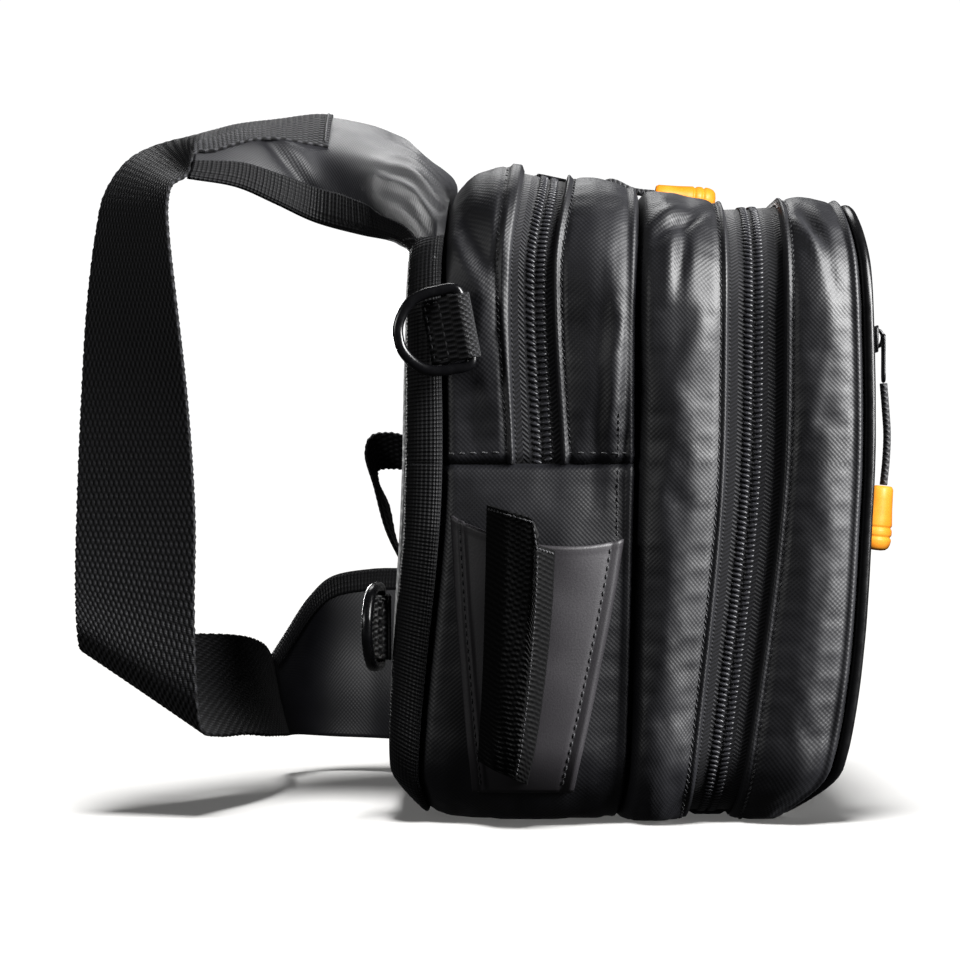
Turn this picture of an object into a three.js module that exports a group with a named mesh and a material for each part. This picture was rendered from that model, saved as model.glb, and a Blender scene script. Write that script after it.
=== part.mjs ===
// A sling bag for fishing, standing on its base. Millimetres, +Z up. +X is the bag's front, -X the
// side that is worn against the body, -Y the side with the tool pocket. The origin is on the base.
import * as THREE from 'three';

// Driving dimensions
const GAP = 0.3; // clearance between neighbouring pieces
const CLOTH = 2; // wall of the body cloth with its foam backing
const BASE_RADIUS = 30; // lower corners of the body, seen from the front
const TOP_RADIUS = 45; // upper corners of the body
const SIDE_SEAM = 139; // height of the seam across the rear sides
const ZIP_RECESS = 2; // the zips lie this far below the cloth beside them
const COIL_HEIGHT = 1.4;
const BACK_PAD = 8; // thickness of the padded back panel
const BINDING = 2; // wall of the folded edge tape
const BINDING_LIP = 11; // how far the tape reaches over the back panel
const PIPING_RADIUS = 2.4;
const FRONT_CROWN = 7; // how far the front panel swells past its piping
const BACK_CROWN = 4;
const WEBBING = 2; // thickness of the strap webbing
const PAD = 6; // thickness of the shoulder pad
const PAD_TAPE = 1.2; // wall of the tape round the pad's edges
const WING = 3; // thickness of the cloth wing
const POCKET_WALL = 1.5;
const SLEEVE_WALL = 1.8;
const CORD_RADIUS = 1.5;
const GRIP_LENGTH = 25.4;
const RING_WIRE = 4; // thickness of a D-ring
const RING_BAR = 26.5; // clear length of its bar
const RING_REACH = 28; // from the bar's axis to the outside of its bow
const TAB_WIDTH = 25; // webbing that holds a D-ring
const TAB_PLY = 1.2;
const TAB_REACH = 15; // from the bar's axis to the tab's sewn end
const TAB_SINK = 7.4; // how far the sewn end lies nearer to the bag than the bar

// Seam rings, from the back edge to the front piping. base, low, middle, high and top give the ring's
// x at those levels, lift and height its lowest and highest z, half its half width.
const LOW = 20;
const MIDDLE = 125;
const HIGH = 215;
const RINGS = {
  backEdge: { base: -76, low: -85, middle: -79, high: -78, top: -74.5, lift: 8, height: 243, half: 92 },
  backSeam: { base: -70, low: -74, middle: -65, high: -65, top: -62, lift: 2, height: 246, half: 95 },
  rearZipBack: { base: -36, low: -36, middle: -36, high: -38, top: -32, lift: 0, height: 258, half: 97 },
  rearZipFront: { base: -18, low: -18, middle: -18, high: -22, top: -15.5, lift: 0, height: 254.5,
    half: 97 },
  middleSeam: { base: 4, low: 7, middle: 9.5, high: 11, top: 13, lift: 0, height: 248.5, half: 97 },
  mainZipBack: { base: 32, low: 34, middle: 44.5, high: 46.5, top: 47, lift: 0, height: 243.5, half: 97 },
  mainZipFront: { base: 48, low: 52, middle: 65.5, high: 67.5, top: 68, lift: 0, height: 244.5,
    half: 97 },
  piping: { base: 66, low: 86, middle: 97.5, high: 97, top: 94, lift: 0, height: 243.5, half: 95 },
};

// Bands of cloth between two rings. side and top are how far the cloth swells there.
const BANDS = {
  rear_gusset: { from: 'backSeam', to: 'rearZipBack', arc: 'upper', side: 5, top: 5 },
  middle_gusset: { from: 'rearZipFront', to: 'middleSeam', arc: 'upper', side: 4, top: 1.5 },
  lower_gusset: { from: 'backSeam', to: 'middleSeam', arc: 'lower', side: 5, top: 5 },
  front_gusset: { from: 'middleSeam', to: 'mainZipBack', arc: 'ring', side: 5.5, top: 1 },
  pocket_gusset: { from: 'mainZipFront', to: 'piping', arc: 'ring', side: 5.5, top: 2 },
  base_strip: { from: 'mainZipBack', to: 'mainZipFront', arc: 'base', side: 1, top: 1 },
};
const BAND_STEPS = 4; // facets across a band
const SWELL_START = 34; // the cloth reaches its full swell this far from the side seam

// Dents and folds in the near side and top: the cloth is pushed in by depth round (x, z).
const DENTS = [
  { x: -50, z: 226, reachX: 9, reachZ: 14, depth: 4 },
  { x: 31, z: 222, reachX: 6, reachZ: 22, depth: 5 },
  { x: 24, z: 240, reachX: 14, reachZ: 7, depth: 3 },
  { x: 84, z: 226, reachX: 8, reachZ: 14, depth: 4 },
  { x: 66, z: 12, reachX: 8, reachZ: 10, depth: 3 },
  { x: -6, z: 205, reachX: 8, reachZ: 26, depth: 2 },
];

const FINISHES = {
  cloth: { color: 0x24242a, roughness: 0.8, metalness: 0 },
  mesh: { color: 0x1b1b1e, roughness: 0.9, metalness: 0 },
  tape: { color: 0x121214, roughness: 0.85, metalness: 0 },
  webbing: { color: 0x161618, roughness: 0.8, metalness: 0 },
  coated: { color: 0x48464a, roughness: 0.55, metalness: 0 },
  zip: { color: 0x1d1d20, roughness: 0.6, metalness: 0 },
  piping: { color: 0x0c0c0d, roughness: 0.35, metalness: 0 },
  plastic: { color: 0x0b0b0c, roughness: 0.3, metalness: 0 },
  slider: { color: 0x18181a, roughness: 0.4, metalness: 0.8 },
  grip: { color: 0xf59a1e, roughness: 0.5, metalness: 0 },
};

const bag = new THREE.Group();

function addPiece(name, geometry, finish, parent = bag) {
  const mesh = new THREE.Mesh(geometry, new THREE.MeshStandardMaterial(FINISHES[finish]));
  mesh.name = name;
  parent.add(mesh);
  return mesh;
}

const at = (x, y, z) => new THREE.Vector3(x, y, z);
const mix = THREE.MathUtils.lerp;
const steps = (count) => Array.from({ length: count + 1 }, (_, i) => i / count);

// Six times the volume inside a closed triangle mesh; negative where its faces point in.
function signedVolume(points, index) {
  let sum = 0;
  for (let i = 0; i < index.length; i += 3) {
    const [a, b, c] = [points[index[i]], points[index[i + 1]], points[index[i + 2]]];
    sum += a.dot(b.clone().cross(c));
  }
  return sum;
}

// One closed body through rows of closed sections. A section runs along its outer face and back along
// its inner face. A looped body joins its last row to its first, any other is capped at both ends.
function bodyThrough(rows, looped = false) {
  const count = rows[0].length;
  const points = rows.flat();
  let index = [];
  const quad = (a, b, c, d) => index.push(a, b, c, a, c, d);
  const spans = looped ? rows.length : rows.length - 1;
  for (let row = 0; row < spans; row++) {
    const here = row * count;
    const next = ((row + 1) % rows.length) * count;
    for (let i = 0; i < count; i++) {
      const side = (i + 1) % count;
      quad(here + i, here + side, next + side, next + i);
    }
  }
  if (!looped) {
    const end = (rows.length - 1) * count;
    for (let i = 0; i < count / 2 - 1; i++) {
      const back = count - 1 - i;
      quad(i, back, back - 1, i + 1);
      quad(end + i, end + i + 1, end + back - 1, end + back);
    }
  }
  if (signedVolume(points, index) < 0) index = index.reverse();
  const geometry = new THREE.BufferGeometry().setFromPoints(points);
  geometry.setIndex(index);
  geometry.computeVertexNormals();
  return geometry;
}

// A section from its outer points and the inner points that lie under them.
const section = (outer, inner) => [...outer, ...inner.toReversed()];

// A smooth curve through (place, value) pairs, read at one place.
function curveThrough(pairs, place) {
  const last = pairs.length - 1;
  const slope = (i) => {
    const [a, b] = [pairs[Math.max(i - 1, 0)], pairs[Math.min(i + 1, last)]];
    return (b[1] - a[1]) / (b[0] - a[0]);
  };
  let i = 0;
  while (i < last - 1 && place > pairs[i + 1][0]) i++;
  const [[p0, v0], [p1, v1]] = [pairs[i], pairs[i + 1]];
  const span = p1 - p0;
  const t = THREE.MathUtils.clamp((place - p0) / span, 0, 1);
  const [t2, t3] = [t * t, t * t * t];
  return (2 * t3 - 3 * t2 + 1) * v0 + (t3 - 2 * t2 + t) * span * slope(i)
    + (3 * t2 - 2 * t3) * v1 + (t3 - t2) * span * slope(i + 1);
}

// Where a ring runs, from the back of the bag to its front, at one height.
function ringX(name, z) {
  const ring = RINGS[name];
  const levels = [[ring.lift, ring.base], [LOW, ring.low], [MIDDLE, ring.middle], [HIGH, ring.high],
    [ring.height, ring.top]];
  return curveThrough(levels, z);
}

// Half the bag's width at one height of a ring, inside its rounded corners.
function halfWidth(name, z, inset = 0) {
  const ring = RINGS[name];
  const corner = (radius, rise) => Math.sqrt(Math.max(radius ** 2 - Math.max(rise, 0) ** 2, 0)) - radius;
  return ring.half - inset
    + corner(BASE_RADIUS - inset, ring.lift + BASE_RADIUS - z)
    + corner(TOP_RADIUS - inset, z - ring.height + TOP_RADIUS);
}

// The ring's outline, seen from the front: up the near side, over the top, down the far side and under
// the base. Each stretch has a number of facets; angle is the direction of the outward normal.
const FACETS = { upper: 3, topCorner: 5, top: 4, lower: 3, baseCorner: 4, base: 5 };
const UPPER_END = 2 * FACETS.upper + 2 * FACETS.topCorner + FACETS.top;
const BASE_START = UPPER_END + FACETS.lower + FACETS.baseCorner;
const BASE_END = BASE_START + FACETS.base;
const RING_END = BASE_END + FACETS.baseCorner + FACETS.lower;

function outline(name) {
  const { half, height, lift } = RINGS[name];
  const points = [];
  const straight = (count, from, to, angle) => {
    for (const t of steps(count).slice(0, -1)) {
      points.push({ y: mix(from.y, to.y, t), z: mix(from.z, to.z, t), angle });
    }
  };
  const corner = (count, centre, radius, from, to) => {
    for (const t of steps(count).slice(0, -1)) {
      const angle = mix(from, to, t);
      const [y, z] = [centre.y + radius * Math.cos(angle), centre.z + radius * Math.sin(angle)];
      points.push({ y, z, angle });
    }
  };
  const flatTop = half - TOP_RADIUS;
  const flatBase = half - BASE_RADIUS;
  const shoulder = height - TOP_RADIUS;
  const heel = lift + BASE_RADIUS;
  const quarter = Math.PI / 2;
  straight(FACETS.upper, { y: -half, z: SIDE_SEAM }, { y: -half, z: shoulder }, 2 * quarter);
  corner(FACETS.topCorner, { y: -flatTop, z: shoulder }, TOP_RADIUS, 2 * quarter, quarter);
  straight(FACETS.top, { y: -flatTop, z: height }, { y: flatTop, z: height }, quarter);
  corner(FACETS.topCorner, { y: flatTop, z: shoulder }, TOP_RADIUS, quarter, 0);
  straight(FACETS.upper, { y: half, z: shoulder }, { y: half, z: SIDE_SEAM }, 0);
  straight(FACETS.lower, { y: half, z: SIDE_SEAM }, { y: half, z: heel }, 0);
  corner(FACETS.baseCorner, { y: flatBase, z: heel }, BASE_RADIUS, 0, -quarter);
  straight(FACETS.base, { y: flatBase, z: lift }, { y: -flatBase, z: lift }, -quarter);
  corner(FACETS.baseCorner, { y: -flatBase, z: heel }, BASE_RADIUS, -quarter, -2 * quarter);
  straight(FACETS.lower, { y: -half, z: heel }, { y: -half, z: SIDE_SEAM }, -2 * quarter);
  return points.map((p) => ({
    ...p, x: ringX(name, p.z), ny: Math.cos(p.angle), nz: Math.sin(p.angle),
  }));
}
const OUTLINES = Object.fromEntries(Object.keys(RINGS).map((name) => [name, outline(name)]));

// The stretch of the ring that each kind of band covers, as first and last outline points.
const ARCS = {
  ring: { first: 0, last: RING_END - 1, looped: true },
  upper: { first: 0, last: UPPER_END },
  lower: { first: UPPER_END, last: RING_END },
  base: { first: BASE_START, last: BASE_END },
  overTop: { first: BASE_END, last: RING_END + BASE_START },
};

function dentAt(x, y, z) {
  if (y > 0) return 0;
  const away = (dent) => ((x - dent.x) / dent.reachX) ** 2 + ((z - dent.z) / dent.reachZ) ** 2;
  return DENTS.reduce((sum, dent) => sum + dent.depth * Math.exp(-away(dent)), 0);
}

// The rows of a band. profile gives how far the outer face stands out of the two rings, across the band
// at t from 0 to 1 and round the ring at the outline point; ends of an open arc are trimmed for clearance.
function bandRows({ from, to, arc, wall, across, profile }) {
  const { first, last, looped } = ARCS[arc];
  const rows = [];
  for (let i = first; i <= last; i++) {
    const [a, b] = [OUTLINES[from][i % RING_END], OUTLINES[to][i % RING_END]];
    const trim = at(0, 0, 0);
    if (!looped && (i === first || i === last)) {
      const inward = OUTLINES[from][(i === first ? i + 1 : i + RING_END - 1) % RING_END];
      trim.set(0, inward.y - a.y, inward.z - a.z).setLength(GAP / 2);
    }
    const place = (t, depth) => {
      const x = mix(a.x + GAP / 2, b.x - GAP / 2, t);
      const [y, z] = [mix(a.y, b.y, t), mix(a.z, b.z, t)];
      const out = profile(t, a) - depth - dentAt(x, y, z) * 4 * t * (1 - t);
      const spot = at(x, y + out * a.ny, z + out * a.nz).add(trim);
      spot.z = Math.max(spot.z, depth);
      return spot;
    };
    rows.push(section(across.map((t) => place(t, 0)), across.map((t) => place(t, wall))));
  }
  return rows;
}

// Body cloth: each band swells between its seams, and lies flat along the side seam.
for (const [name, band] of Object.entries(BANDS)) {
  const meetsSeam = band.arc === 'upper' || band.arc === 'lower';
  const profile = (t, { z, nz }) => {
    const rise = meetsSeam ? Math.min(Math.abs(z - SIDE_SEAM) / SWELL_START, 1) : 1;
    return mix(band.side, band.top, Math.max(nz, 0)) * 4 * t * (1 - t) * Math.sin(rise * Math.PI / 2);
  };
  const rows = bandRows({ ...band, wall: CLOTH, across: steps(BAND_STEPS), profile });
  addPiece(name, bodyThrough(rows, ARCS[band.arc].looped), 'cloth');
}

// Coil zips: a tape below the cloth, with the raised coil along its middle.
const COIL_EDGES = [0, 0.28, 0.36, 0.64, 0.72, 1];
const coilProfile = (t) => (t > 0.3 && t < 0.7 ? COIL_HEIGHT : 0) - ZIP_RECESS;
const ZIPS = {
  rear_zipper: { from: 'rearZipBack', to: 'rearZipFront', arc: 'upper' },
  front_zipper: { from: 'mainZipBack', to: 'mainZipFront', arc: 'overTop' },
};
for (const [name, zip] of Object.entries(ZIPS)) {
  const rows = bandRows({ ...zip, wall: CLOTH / 2, across: COIL_EDGES, profile: coilProfile });
  addPiece(name, bodyThrough(rows), 'zip');
}

// Edge binding of the back: a tape from the back seam, round the edge and over the rim of the panel.
// along runs from the back seam (0) to the back edge (1), out is the height above the ring's outline.
const BINDING_FACE = [
  { along: 0, out: 0 }, { along: 0.3, out: 2.6 }, { along: 0.7, out: 2.6 }, { along: 0.95, out: 0.6 },
  { along: 1, out: -4 }, { along: 1, out: -BINDING_LIP },
];
const BINDING_UNDER = [
  { along: 0, out: -BINDING }, { along: 0.33, out: 0.6 }, { along: 0.66, out: 0.6 },
  { along: 0.82, out: -1 }, { along: 0.85, out: -4 }, { along: 0.85, out: -BINDING_LIP },
];
const bindingRows = OUTLINES.backSeam.map((seam, i) => {
  const edge = OUTLINES.backEdge[i];
  const place = ({ along, out }) => at(
    mix(seam.x - GAP / 2, edge.x, along),
    mix(seam.y, edge.y, along) + out * seam.ny,
    Math.max(mix(seam.z, edge.z, along) + out * seam.nz, 0),
  );
  return section(BINDING_FACE.map(place), BINDING_UNDER.map(place));
});
addPiece('back_binding', bodyThrough(bindingRows, true), 'tape');

// A panel that closes a ring: rows up its height, points across its width, swelling by crown.
const PANEL_FACETS = { rise: 12, across: 8 };
function panelRows({ ring, inset, thickness, offset, crown }) {
  const { lift, height, half } = RINGS[ring];
  const bottom = lift + inset;
  const top = height - inset;
  return steps(PANEL_FACETS.rise).map((t) => {
    const z = mix(bottom, top, (1 - Math.cos(t * Math.PI)) / 2);
    const reach = halfWidth(ring, z, inset);
    const upright = 1 - ((2 * z - bottom - top) / (top - bottom)) ** 2;
    const place = (side, depth) => {
      const y = side * reach;
      const swell = crown * upright * (1 - (y / half) ** 2);
      return at(ringX(ring, z) + offset + swell - depth, y, z);
    };
    const sides = steps(PANEL_FACETS.across).map((s) => 2 * s - 1);
    return section(sides.map((s) => place(s, 0)), sides.map((s) => place(s, thickness)));
  });
}
const BACK_INSET = BINDING_LIP + 2 * GAP;
const BACK_PROUD = 0.5; // the panel's edge stands this far past the tape's lip
addPiece('back_panel', bodyThrough(panelRows({
  ring: 'backEdge', inset: BACK_INSET, thickness: BACK_PAD, offset: BACK_PAD - BACK_PROUD,
  crown: -BACK_CROWN,
})), 'mesh');

// Front piping, a cord under tape along the last ring, and the front panel inside it.
const PIPING_SIDES = 6;
const pipingRows = OUTLINES.piping.map((p) => {
  const centre = at(p.x + PIPING_RADIUS + GAP, p.y - PIPING_RADIUS * p.ny, p.z - PIPING_RADIUS * p.nz);
  return steps(PIPING_SIDES).slice(0, -1).map((t) => {
    const angle = t * 2 * Math.PI;
    const out = PIPING_RADIUS * Math.cos(angle);
    return centre.clone().add(at(PIPING_RADIUS * Math.sin(angle), out * p.ny, out * p.nz));
  });
});
addPiece('front_piping', bodyThrough(pipingRows, true), 'piping');

const FRONT_INSET = 2 * PIPING_RADIUS + 2 * GAP;
const FRONT_OFFSET = 1.8; // the panel's edge lies just below the piping's crest
addPiece('front_panel', bodyThrough(panelRows({
  ring: 'piping', inset: FRONT_INSET, thickness: CLOTH, offset: FRONT_OFFSET, crown: FRONT_CROWN,
})), 'cloth');

// The front panel's outer face.
function frontX(y, z) {
  const { lift, height, half } = RINGS.piping;
  const upright = 1 - ((2 * z - lift - height) / (height - lift - 2 * FRONT_INSET)) ** 2;
  return ringX('piping', z) + FRONT_OFFSET + FRONT_CROWN * upright * (1 - (y / half) ** 2);
}

// Zip of the front pocket, across the front panel.
const POCKET_ZIP = { z: 188, half: 8, reach: 84, facets: 12, tape: 0.7, seat: 2 * GAP };
const pocketZipRows = steps(POCKET_ZIP.facets).map((t) => {
  const y = mix(-POCKET_ZIP.reach, POCKET_ZIP.reach, t);
  const place = (s, depth) => {
    const z = POCKET_ZIP.z + POCKET_ZIP.half * (2 * s - 1);
    const out = coilProfile(s) + ZIP_RECESS + POCKET_ZIP.seat + POCKET_ZIP.tape - depth;
    return at(frontX(y, z) + out, y, z);
  };
  return section(COIL_EDGES.map((s) => place(s, 0)), COIL_EDGES.map((s) => place(s, POCKET_ZIP.tape)));
});
addPiece('front_pocket_zipper', bodyThrough(pocketZipRows), 'zip');

// A rounded plate: an outline in its own x-y plane, bevelled, with an optional hole.
function plate({ length, width, thickness, round, bevel = 0.6, hole }) {
  const shape = new THREE.Shape();
  const [l, w] = [length / 2 - bevel, width / 2 - bevel];
  shape.moveTo(-l + round, -w);
  shape.absarc(l - round, -w + round, round, -Math.PI / 2, 0);
  shape.absarc(l - round, w - round, round, 0, Math.PI / 2);
  shape.absarc(-l + round, w - round, round, Math.PI / 2, Math.PI);
  shape.absarc(-l + round, -w + round, round, Math.PI, Math.PI * 1.5);
  if (hole) {
    const eye = new THREE.Path();
    eye.absarc(hole.x, 0, hole.radius, 0, 2 * Math.PI, true);
    shape.holes.push(eye);
  }
  const depth = thickness - 2 * bevel;
  const geometry = new THREE.ExtrudeGeometry(shape, {
    depth, bevelSize: bevel, bevelThickness: bevel, bevelSegments: 1, curveSegments: 2,
  });
  return geometry.translate(0, 0, -depth / 2);
}

// A zip slider on its coil, with the pull tab that lies on it. pull is the way the tab points, out the
// way the slider stands off the zip. Returns the place of a point along the pull and out of the zip.
const SLIDER = { length: 11, width: 8.4, thickness: 2.8 };
const PULL_TAB = { length: 19, width: 5, thickness: 1.6, start: -2, eye: 2.6 };
const TAB_END = PULL_TAB.start + PULL_TAB.length;
const TAB_LIFT = SLIDER.thickness + PULL_TAB.thickness / 2 + 3 * GAP;
function addSlider(name, place, pull, out) {
  const group = new THREE.Group();
  group.applyMatrix4(new THREE.Matrix4().makeBasis(pull, out.clone().cross(pull), out).setPosition(place));
  bag.add(group);
  const body = plate({ ...SLIDER, round: 2.4 });
  addPiece(`${name}_slider`, body.translate(0, 0, SLIDER.thickness / 2 + 2 * GAP), 'slider', group);
  const hole = { x: PULL_TAB.length / 2 - PULL_TAB.eye, radius: 1.2 };
  const tab = plate({ ...PULL_TAB, round: 1.6, hole });
  tab.translate(PULL_TAB.start + PULL_TAB.length / 2, 0, TAB_LIFT);
  addPiece(`${name}_pull_tab`, tab, 'slider', group);
  group.updateMatrixWorld();
  return (along, high) => at(along, 0, high).applyMatrix4(group.matrixWorld);
}

const FRONT_SLIDER_Y = -79;
const coilOut = COIL_HEIGHT + POCKET_ZIP.seat + POCKET_ZIP.tape + GAP / 2;
const frontCoilX = frontX(FRONT_SLIDER_Y, POCKET_ZIP.z) + coilOut;
const frontSlider = addSlider('front', at(frontCoilX, FRONT_SLIDER_Y, POCKET_ZIP.z),
  at(0, 0, -1), at(1, 0, 0));
const REAR_SLIDER = { x: -25, y: -10 };
const rearTop = mix(RINGS.rearZipBack.height, RINGS.rearZipFront.height, 0.5) - ZIP_RECESS + COIL_HEIGHT;
const rearFall = at(
  RINGS.rearZipFront.top - RINGS.rearZipBack.top, 0, RINGS.rearZipFront.height - RINGS.rearZipBack.height,
).normalize();
const rearSlider = addSlider('rear', at(REAR_SLIDER.x, REAR_SLIDER.y, rearTop), rearFall,
  rearFall.clone().cross(at(0, 1, 0)));
const MAIN_SLIDER_Z = 70;
const mainX = mix(ringX('mainZipBack', MAIN_SLIDER_Z), ringX('mainZipFront', MAIN_SLIDER_Z), 0.5);
addSlider('main', at(mainX, RINGS.mainZipBack.half - ZIP_RECESS + COIL_HEIGHT, MAIN_SLIDER_Z),
  at(0, 0, -1), at(0, 1, 0));

// Pull cords, each along its route from the pull tab's end to the grip, and the grips on them.
const GRIP_PROFILE = [ // radius at a distance from the cord's end
  { along: 0, radius: 3.4 }, { along: 1.2, radius: 4.2 }, { along: 9, radius: 4.4 },
  { along: 15.5, radius: 5 }, { along: 16.4, radius: 4.6 }, { along: 17.3, radius: 5.1 },
  { along: 19.2, radius: 5.2 }, { along: 20.1, radius: 4.7 }, { along: 21, radius: 5.2 },
  { along: 24, radius: 4.6 }, { along: GRIP_LENGTH, radius: 3 },
];
function addPull(name, route) {
  const path = new THREE.CatmullRomCurve3(route);
  const round = new THREE.Shape();
  round.absarc(0, 0, CORD_RADIUS, 0, 2 * Math.PI);
  const cord = new THREE.ExtrudeGeometry(round, { steps: 8, curveSegments: 4, extrudePath: path });
  addPiece(`${name}_pull_cord`, cord, 'webbing');
  const outlinePoints = GRIP_PROFILE.map(({ along, radius }) => new THREE.Vector2(radius, along));
  const profile = [new THREE.Vector2(0, 0), ...outlinePoints, new THREE.Vector2(0, GRIP_LENGTH)];
  const grip = addPiece(`${name}_pull_grip`, new THREE.LatheGeometry(profile, 12), 'grip');
  const tip = route.at(-1);
  const along = path.getTangentAt(1);
  grip.position.copy(tip).addScaledVector(along, GAP);
  grip.quaternion.setFromUnitVectors(at(0, 1, 0), along);
}
const frontCordTop = frontSlider(TAB_END + GAP, TAB_LIFT);
addPull('front', [
  frontCordTop,
  frontCordTop.clone().add(at(0.8, 0, -10)),
  frontCordTop.clone().add(at(1.4, 0, -20)),
  frontCordTop.clone().add(at(1, 0, -30)),
  frontCordTop.clone().add(at(0, 0, -40)),
]);
const rearCordTop = rearSlider(TAB_END + GAP, TAB_LIFT);
addPull('rear', [
  rearCordTop,
  rearCordTop.clone().add(at(7, 0, -0.6)),
  at(5, REAR_SLIDER.y, 257.6),
  at(14, REAR_SLIDER.y, 253.9),
  at(23, REAR_SLIDER.y, 252.7),
]);

// The outer face of the near side's lower gusset, between the back and middle seams.
function lowerSideY(x, z) {
  const [back, front] = [ringX('backSeam', z), ringX('middleSeam', z)];
  const t = THREE.MathUtils.clamp((x - back) / (front - back), 0, 1);
  const rise = Math.min((SIDE_SEAM - z) / SWELL_START, 1);
  const swell = BANDS.lower_gusset.side * 4 * t * (1 - t) * Math.sin(rise * Math.PI / 2);
  return -mix(halfWidth('backSeam', z), halfWidth('middleSeam', z), t) - swell;
}

// Side pocket: a coated panel sewn down along its sides and foot, open along its top. Rows run from the
// foot up; left and right are its edges, open is how far it stands off the gusset.
const POCKET = [
  { z: 12, left: -53, right: -14, open: 0.6 }, { z: 17, left: -53.4, right: -13, open: 1.2 },
  { z: 23, left: -54, right: -11.8, open: 2 }, { z: 31, left: -55, right: -10, open: 3 },
  { z: 42, left: -56, right: -7.5, open: 4 }, { z: 66, left: -58, right: -2.5, open: 6 },
  { z: 90, left: -60, right: 2.2, open: 7.5 }, { z: 110, left: -61.5, right: 5.4, open: 8.5 },
];
const POCKET_SEAT = 0.8; // clearance of its sewn edges from the gusset
const POCKET_RISE = 9; // the top edge is higher at the rear
const POCKET_DIP = 4; // and hangs lower in its middle
const POCKET_FACETS = 8;
const pocketColumn = (key, z) => curveThrough(POCKET.map((row) => [row.z, row[key]]), z);
function pocketFace(x, z, depth) {
  const [left, right] = [pocketColumn('left', z), pocketColumn('right', z)];
  const s = THREE.MathUtils.clamp((x - left) / (right - left), 0, 1);
  const swell = pocketColumn('open', z) * Math.sin(s * Math.PI) ** 0.7;
  return at(x, lowerSideY(x, z) - POCKET_SEAT - swell - depth, z);
}
const pocketRows = POCKET.map((row) => {
  const isTop = row === POCKET.at(-1);
  const place = (s, depth) => {
    const lift = isTop ? POCKET_RISE * (1 - s) ** 2 - POCKET_DIP * 4 * s * (1 - s) : 0;
    const spot = pocketFace(mix(row.left, row.right, s), row.z, depth);
    return spot.add(at(0, 0, lift));
  };
  const across = steps(POCKET_FACETS);
  return section(across.map((s) => place(s, POCKET_WALL)), across.map((s) => place(s, 0)));
});
addPiece('side_pocket', bodyThrough(pocketRows), 'coated');

// Tool sleeve: a webbing channel sewn to the pocket along both edges, open at its top. deep is how far
// it stands off the pocket.
const SLEEVE = [
  { z: 18, left: -51, right: -31, deep: 3.5 }, { z: 32, left: -50.5, right: -29, deep: 7.5 },
  { z: 58, left: -49.5, right: -26.5, deep: 9.5 }, { z: 84, left: -48.5, right: -25, deep: 10.5 },
  { z: 106, left: -48, right: -24.5, deep: 10.5 },
];
const SLEEVE_RISE = 17; // the top edge is higher over the sleeve's rear half
const sleeveRows = SLEEVE.map((row) => {
  const place = (s, depth) => {
    const x = mix(row.left + depth, row.right - depth, s);
    const arch = (row.deep - depth) * Math.min(1, 1.25 * Math.sin(s * Math.PI));
    const lift = row === SLEEVE.at(-1) ? SLEEVE_RISE * THREE.MathUtils.smoothstep(0.75 - s, 0, 0.4) : 0;
    return pocketFace(x, row.z, POCKET_WALL + 4 * GAP + arch).add(at(0, 0, lift));
  };
  const across = steps(POCKET_FACETS);
  return section(across.map((s) => place(s, 0)), across.map((s) => place(s, SLEEVE_WALL)));
});
addPiece('tool_sleeve', bodyThrough(sleeveRows), 'webbing');

// A D-ring and the folded webbing tab that holds its bar. In the group the bar runs along z through the
// origin, the bow points to -x over the tab, and -y is away from the bag.
function addRing(name, place, turn) {
  const group = new THREE.Group();
  group.position.copy(place);
  group.rotation.copy(turn);
  bag.add(group);
  const bevel = RING_WIRE * (1 - Math.SQRT1_2); // makes the wire's section an octagon
  const dee = (target, grow) => {
    const halfBar = (RING_BAR + RING_WIRE) / 2 + grow;
    const bow = RING_REACH - RING_WIRE / 2 + grow;
    const shoulder = bow * 0.45;
    target.moveTo(grow, -halfBar);
    target.lineTo(grow, halfBar);
    target.lineTo(-shoulder, halfBar);
    target.bezierCurveTo(-bow * 0.75, halfBar, -bow, halfBar * 0.6, -bow, 0);
    target.bezierCurveTo(-bow, -halfBar * 0.6, -bow * 0.75, -halfBar, -shoulder, -halfBar);
    return target;
  };
  const shape = dee(new THREE.Shape(), RING_WIRE / 2 - bevel);
  shape.holes.push(dee(new THREE.Path(), bevel - RING_WIRE / 2));
  const depth = RING_WIRE - 2 * bevel;
  const ring = new THREE.ExtrudeGeometry(shape, {
    depth, bevelSize: bevel, bevelThickness: bevel, bevelSegments: 1, curveSegments: 8,
  });
  ring.translate(0, 0, -depth / 2).rotateX(Math.PI / 2);
  addPiece(`${name}_d_ring`, ring, 'plastic', group);

  const eye = RING_WIRE * 0.5 + GAP + 0.4;
  const outer = eye + TAB_PLY;
  const tabShape = new THREE.Shape();
  tabShape.absarc(0, 0, outer, Math.PI * 0.72, -Math.PI * 0.62, true);
  tabShape.lineTo(-TAB_REACH, TAB_SINK - 2 * TAB_PLY);
  tabShape.lineTo(-TAB_REACH, TAB_SINK);
  const hole = new THREE.Path();
  hole.absarc(0, 0, eye, 0, 2 * Math.PI, false);
  tabShape.holes.push(hole);
  const tab = new THREE.ExtrudeGeometry(tabShape, {
    depth: TAB_WIDTH, bevelEnabled: false, curveSegments: 10,
  });
  addPiece(`${name}_ring_tab`, tab.translate(0, 0, -TAB_WIDTH / 2), 'webbing', group);
}
const UPPER_RING = { x: -55.6, y: -105.4, z: 191.6, tilt: 0.19 };
addRing('upper', at(UPPER_RING.x, UPPER_RING.y, UPPER_RING.z), new THREE.Euler(0, -UPPER_RING.tilt, 0));
const LOWER_RING = { x: -89.3, y: -70, z: 75, turn: 1.4 };
addRing('lower', at(LOWER_RING.x, LOWER_RING.y, LOWER_RING.z),
  new THREE.Euler(Math.PI, 0, LOWER_RING.turn, 'ZYX'));

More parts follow.
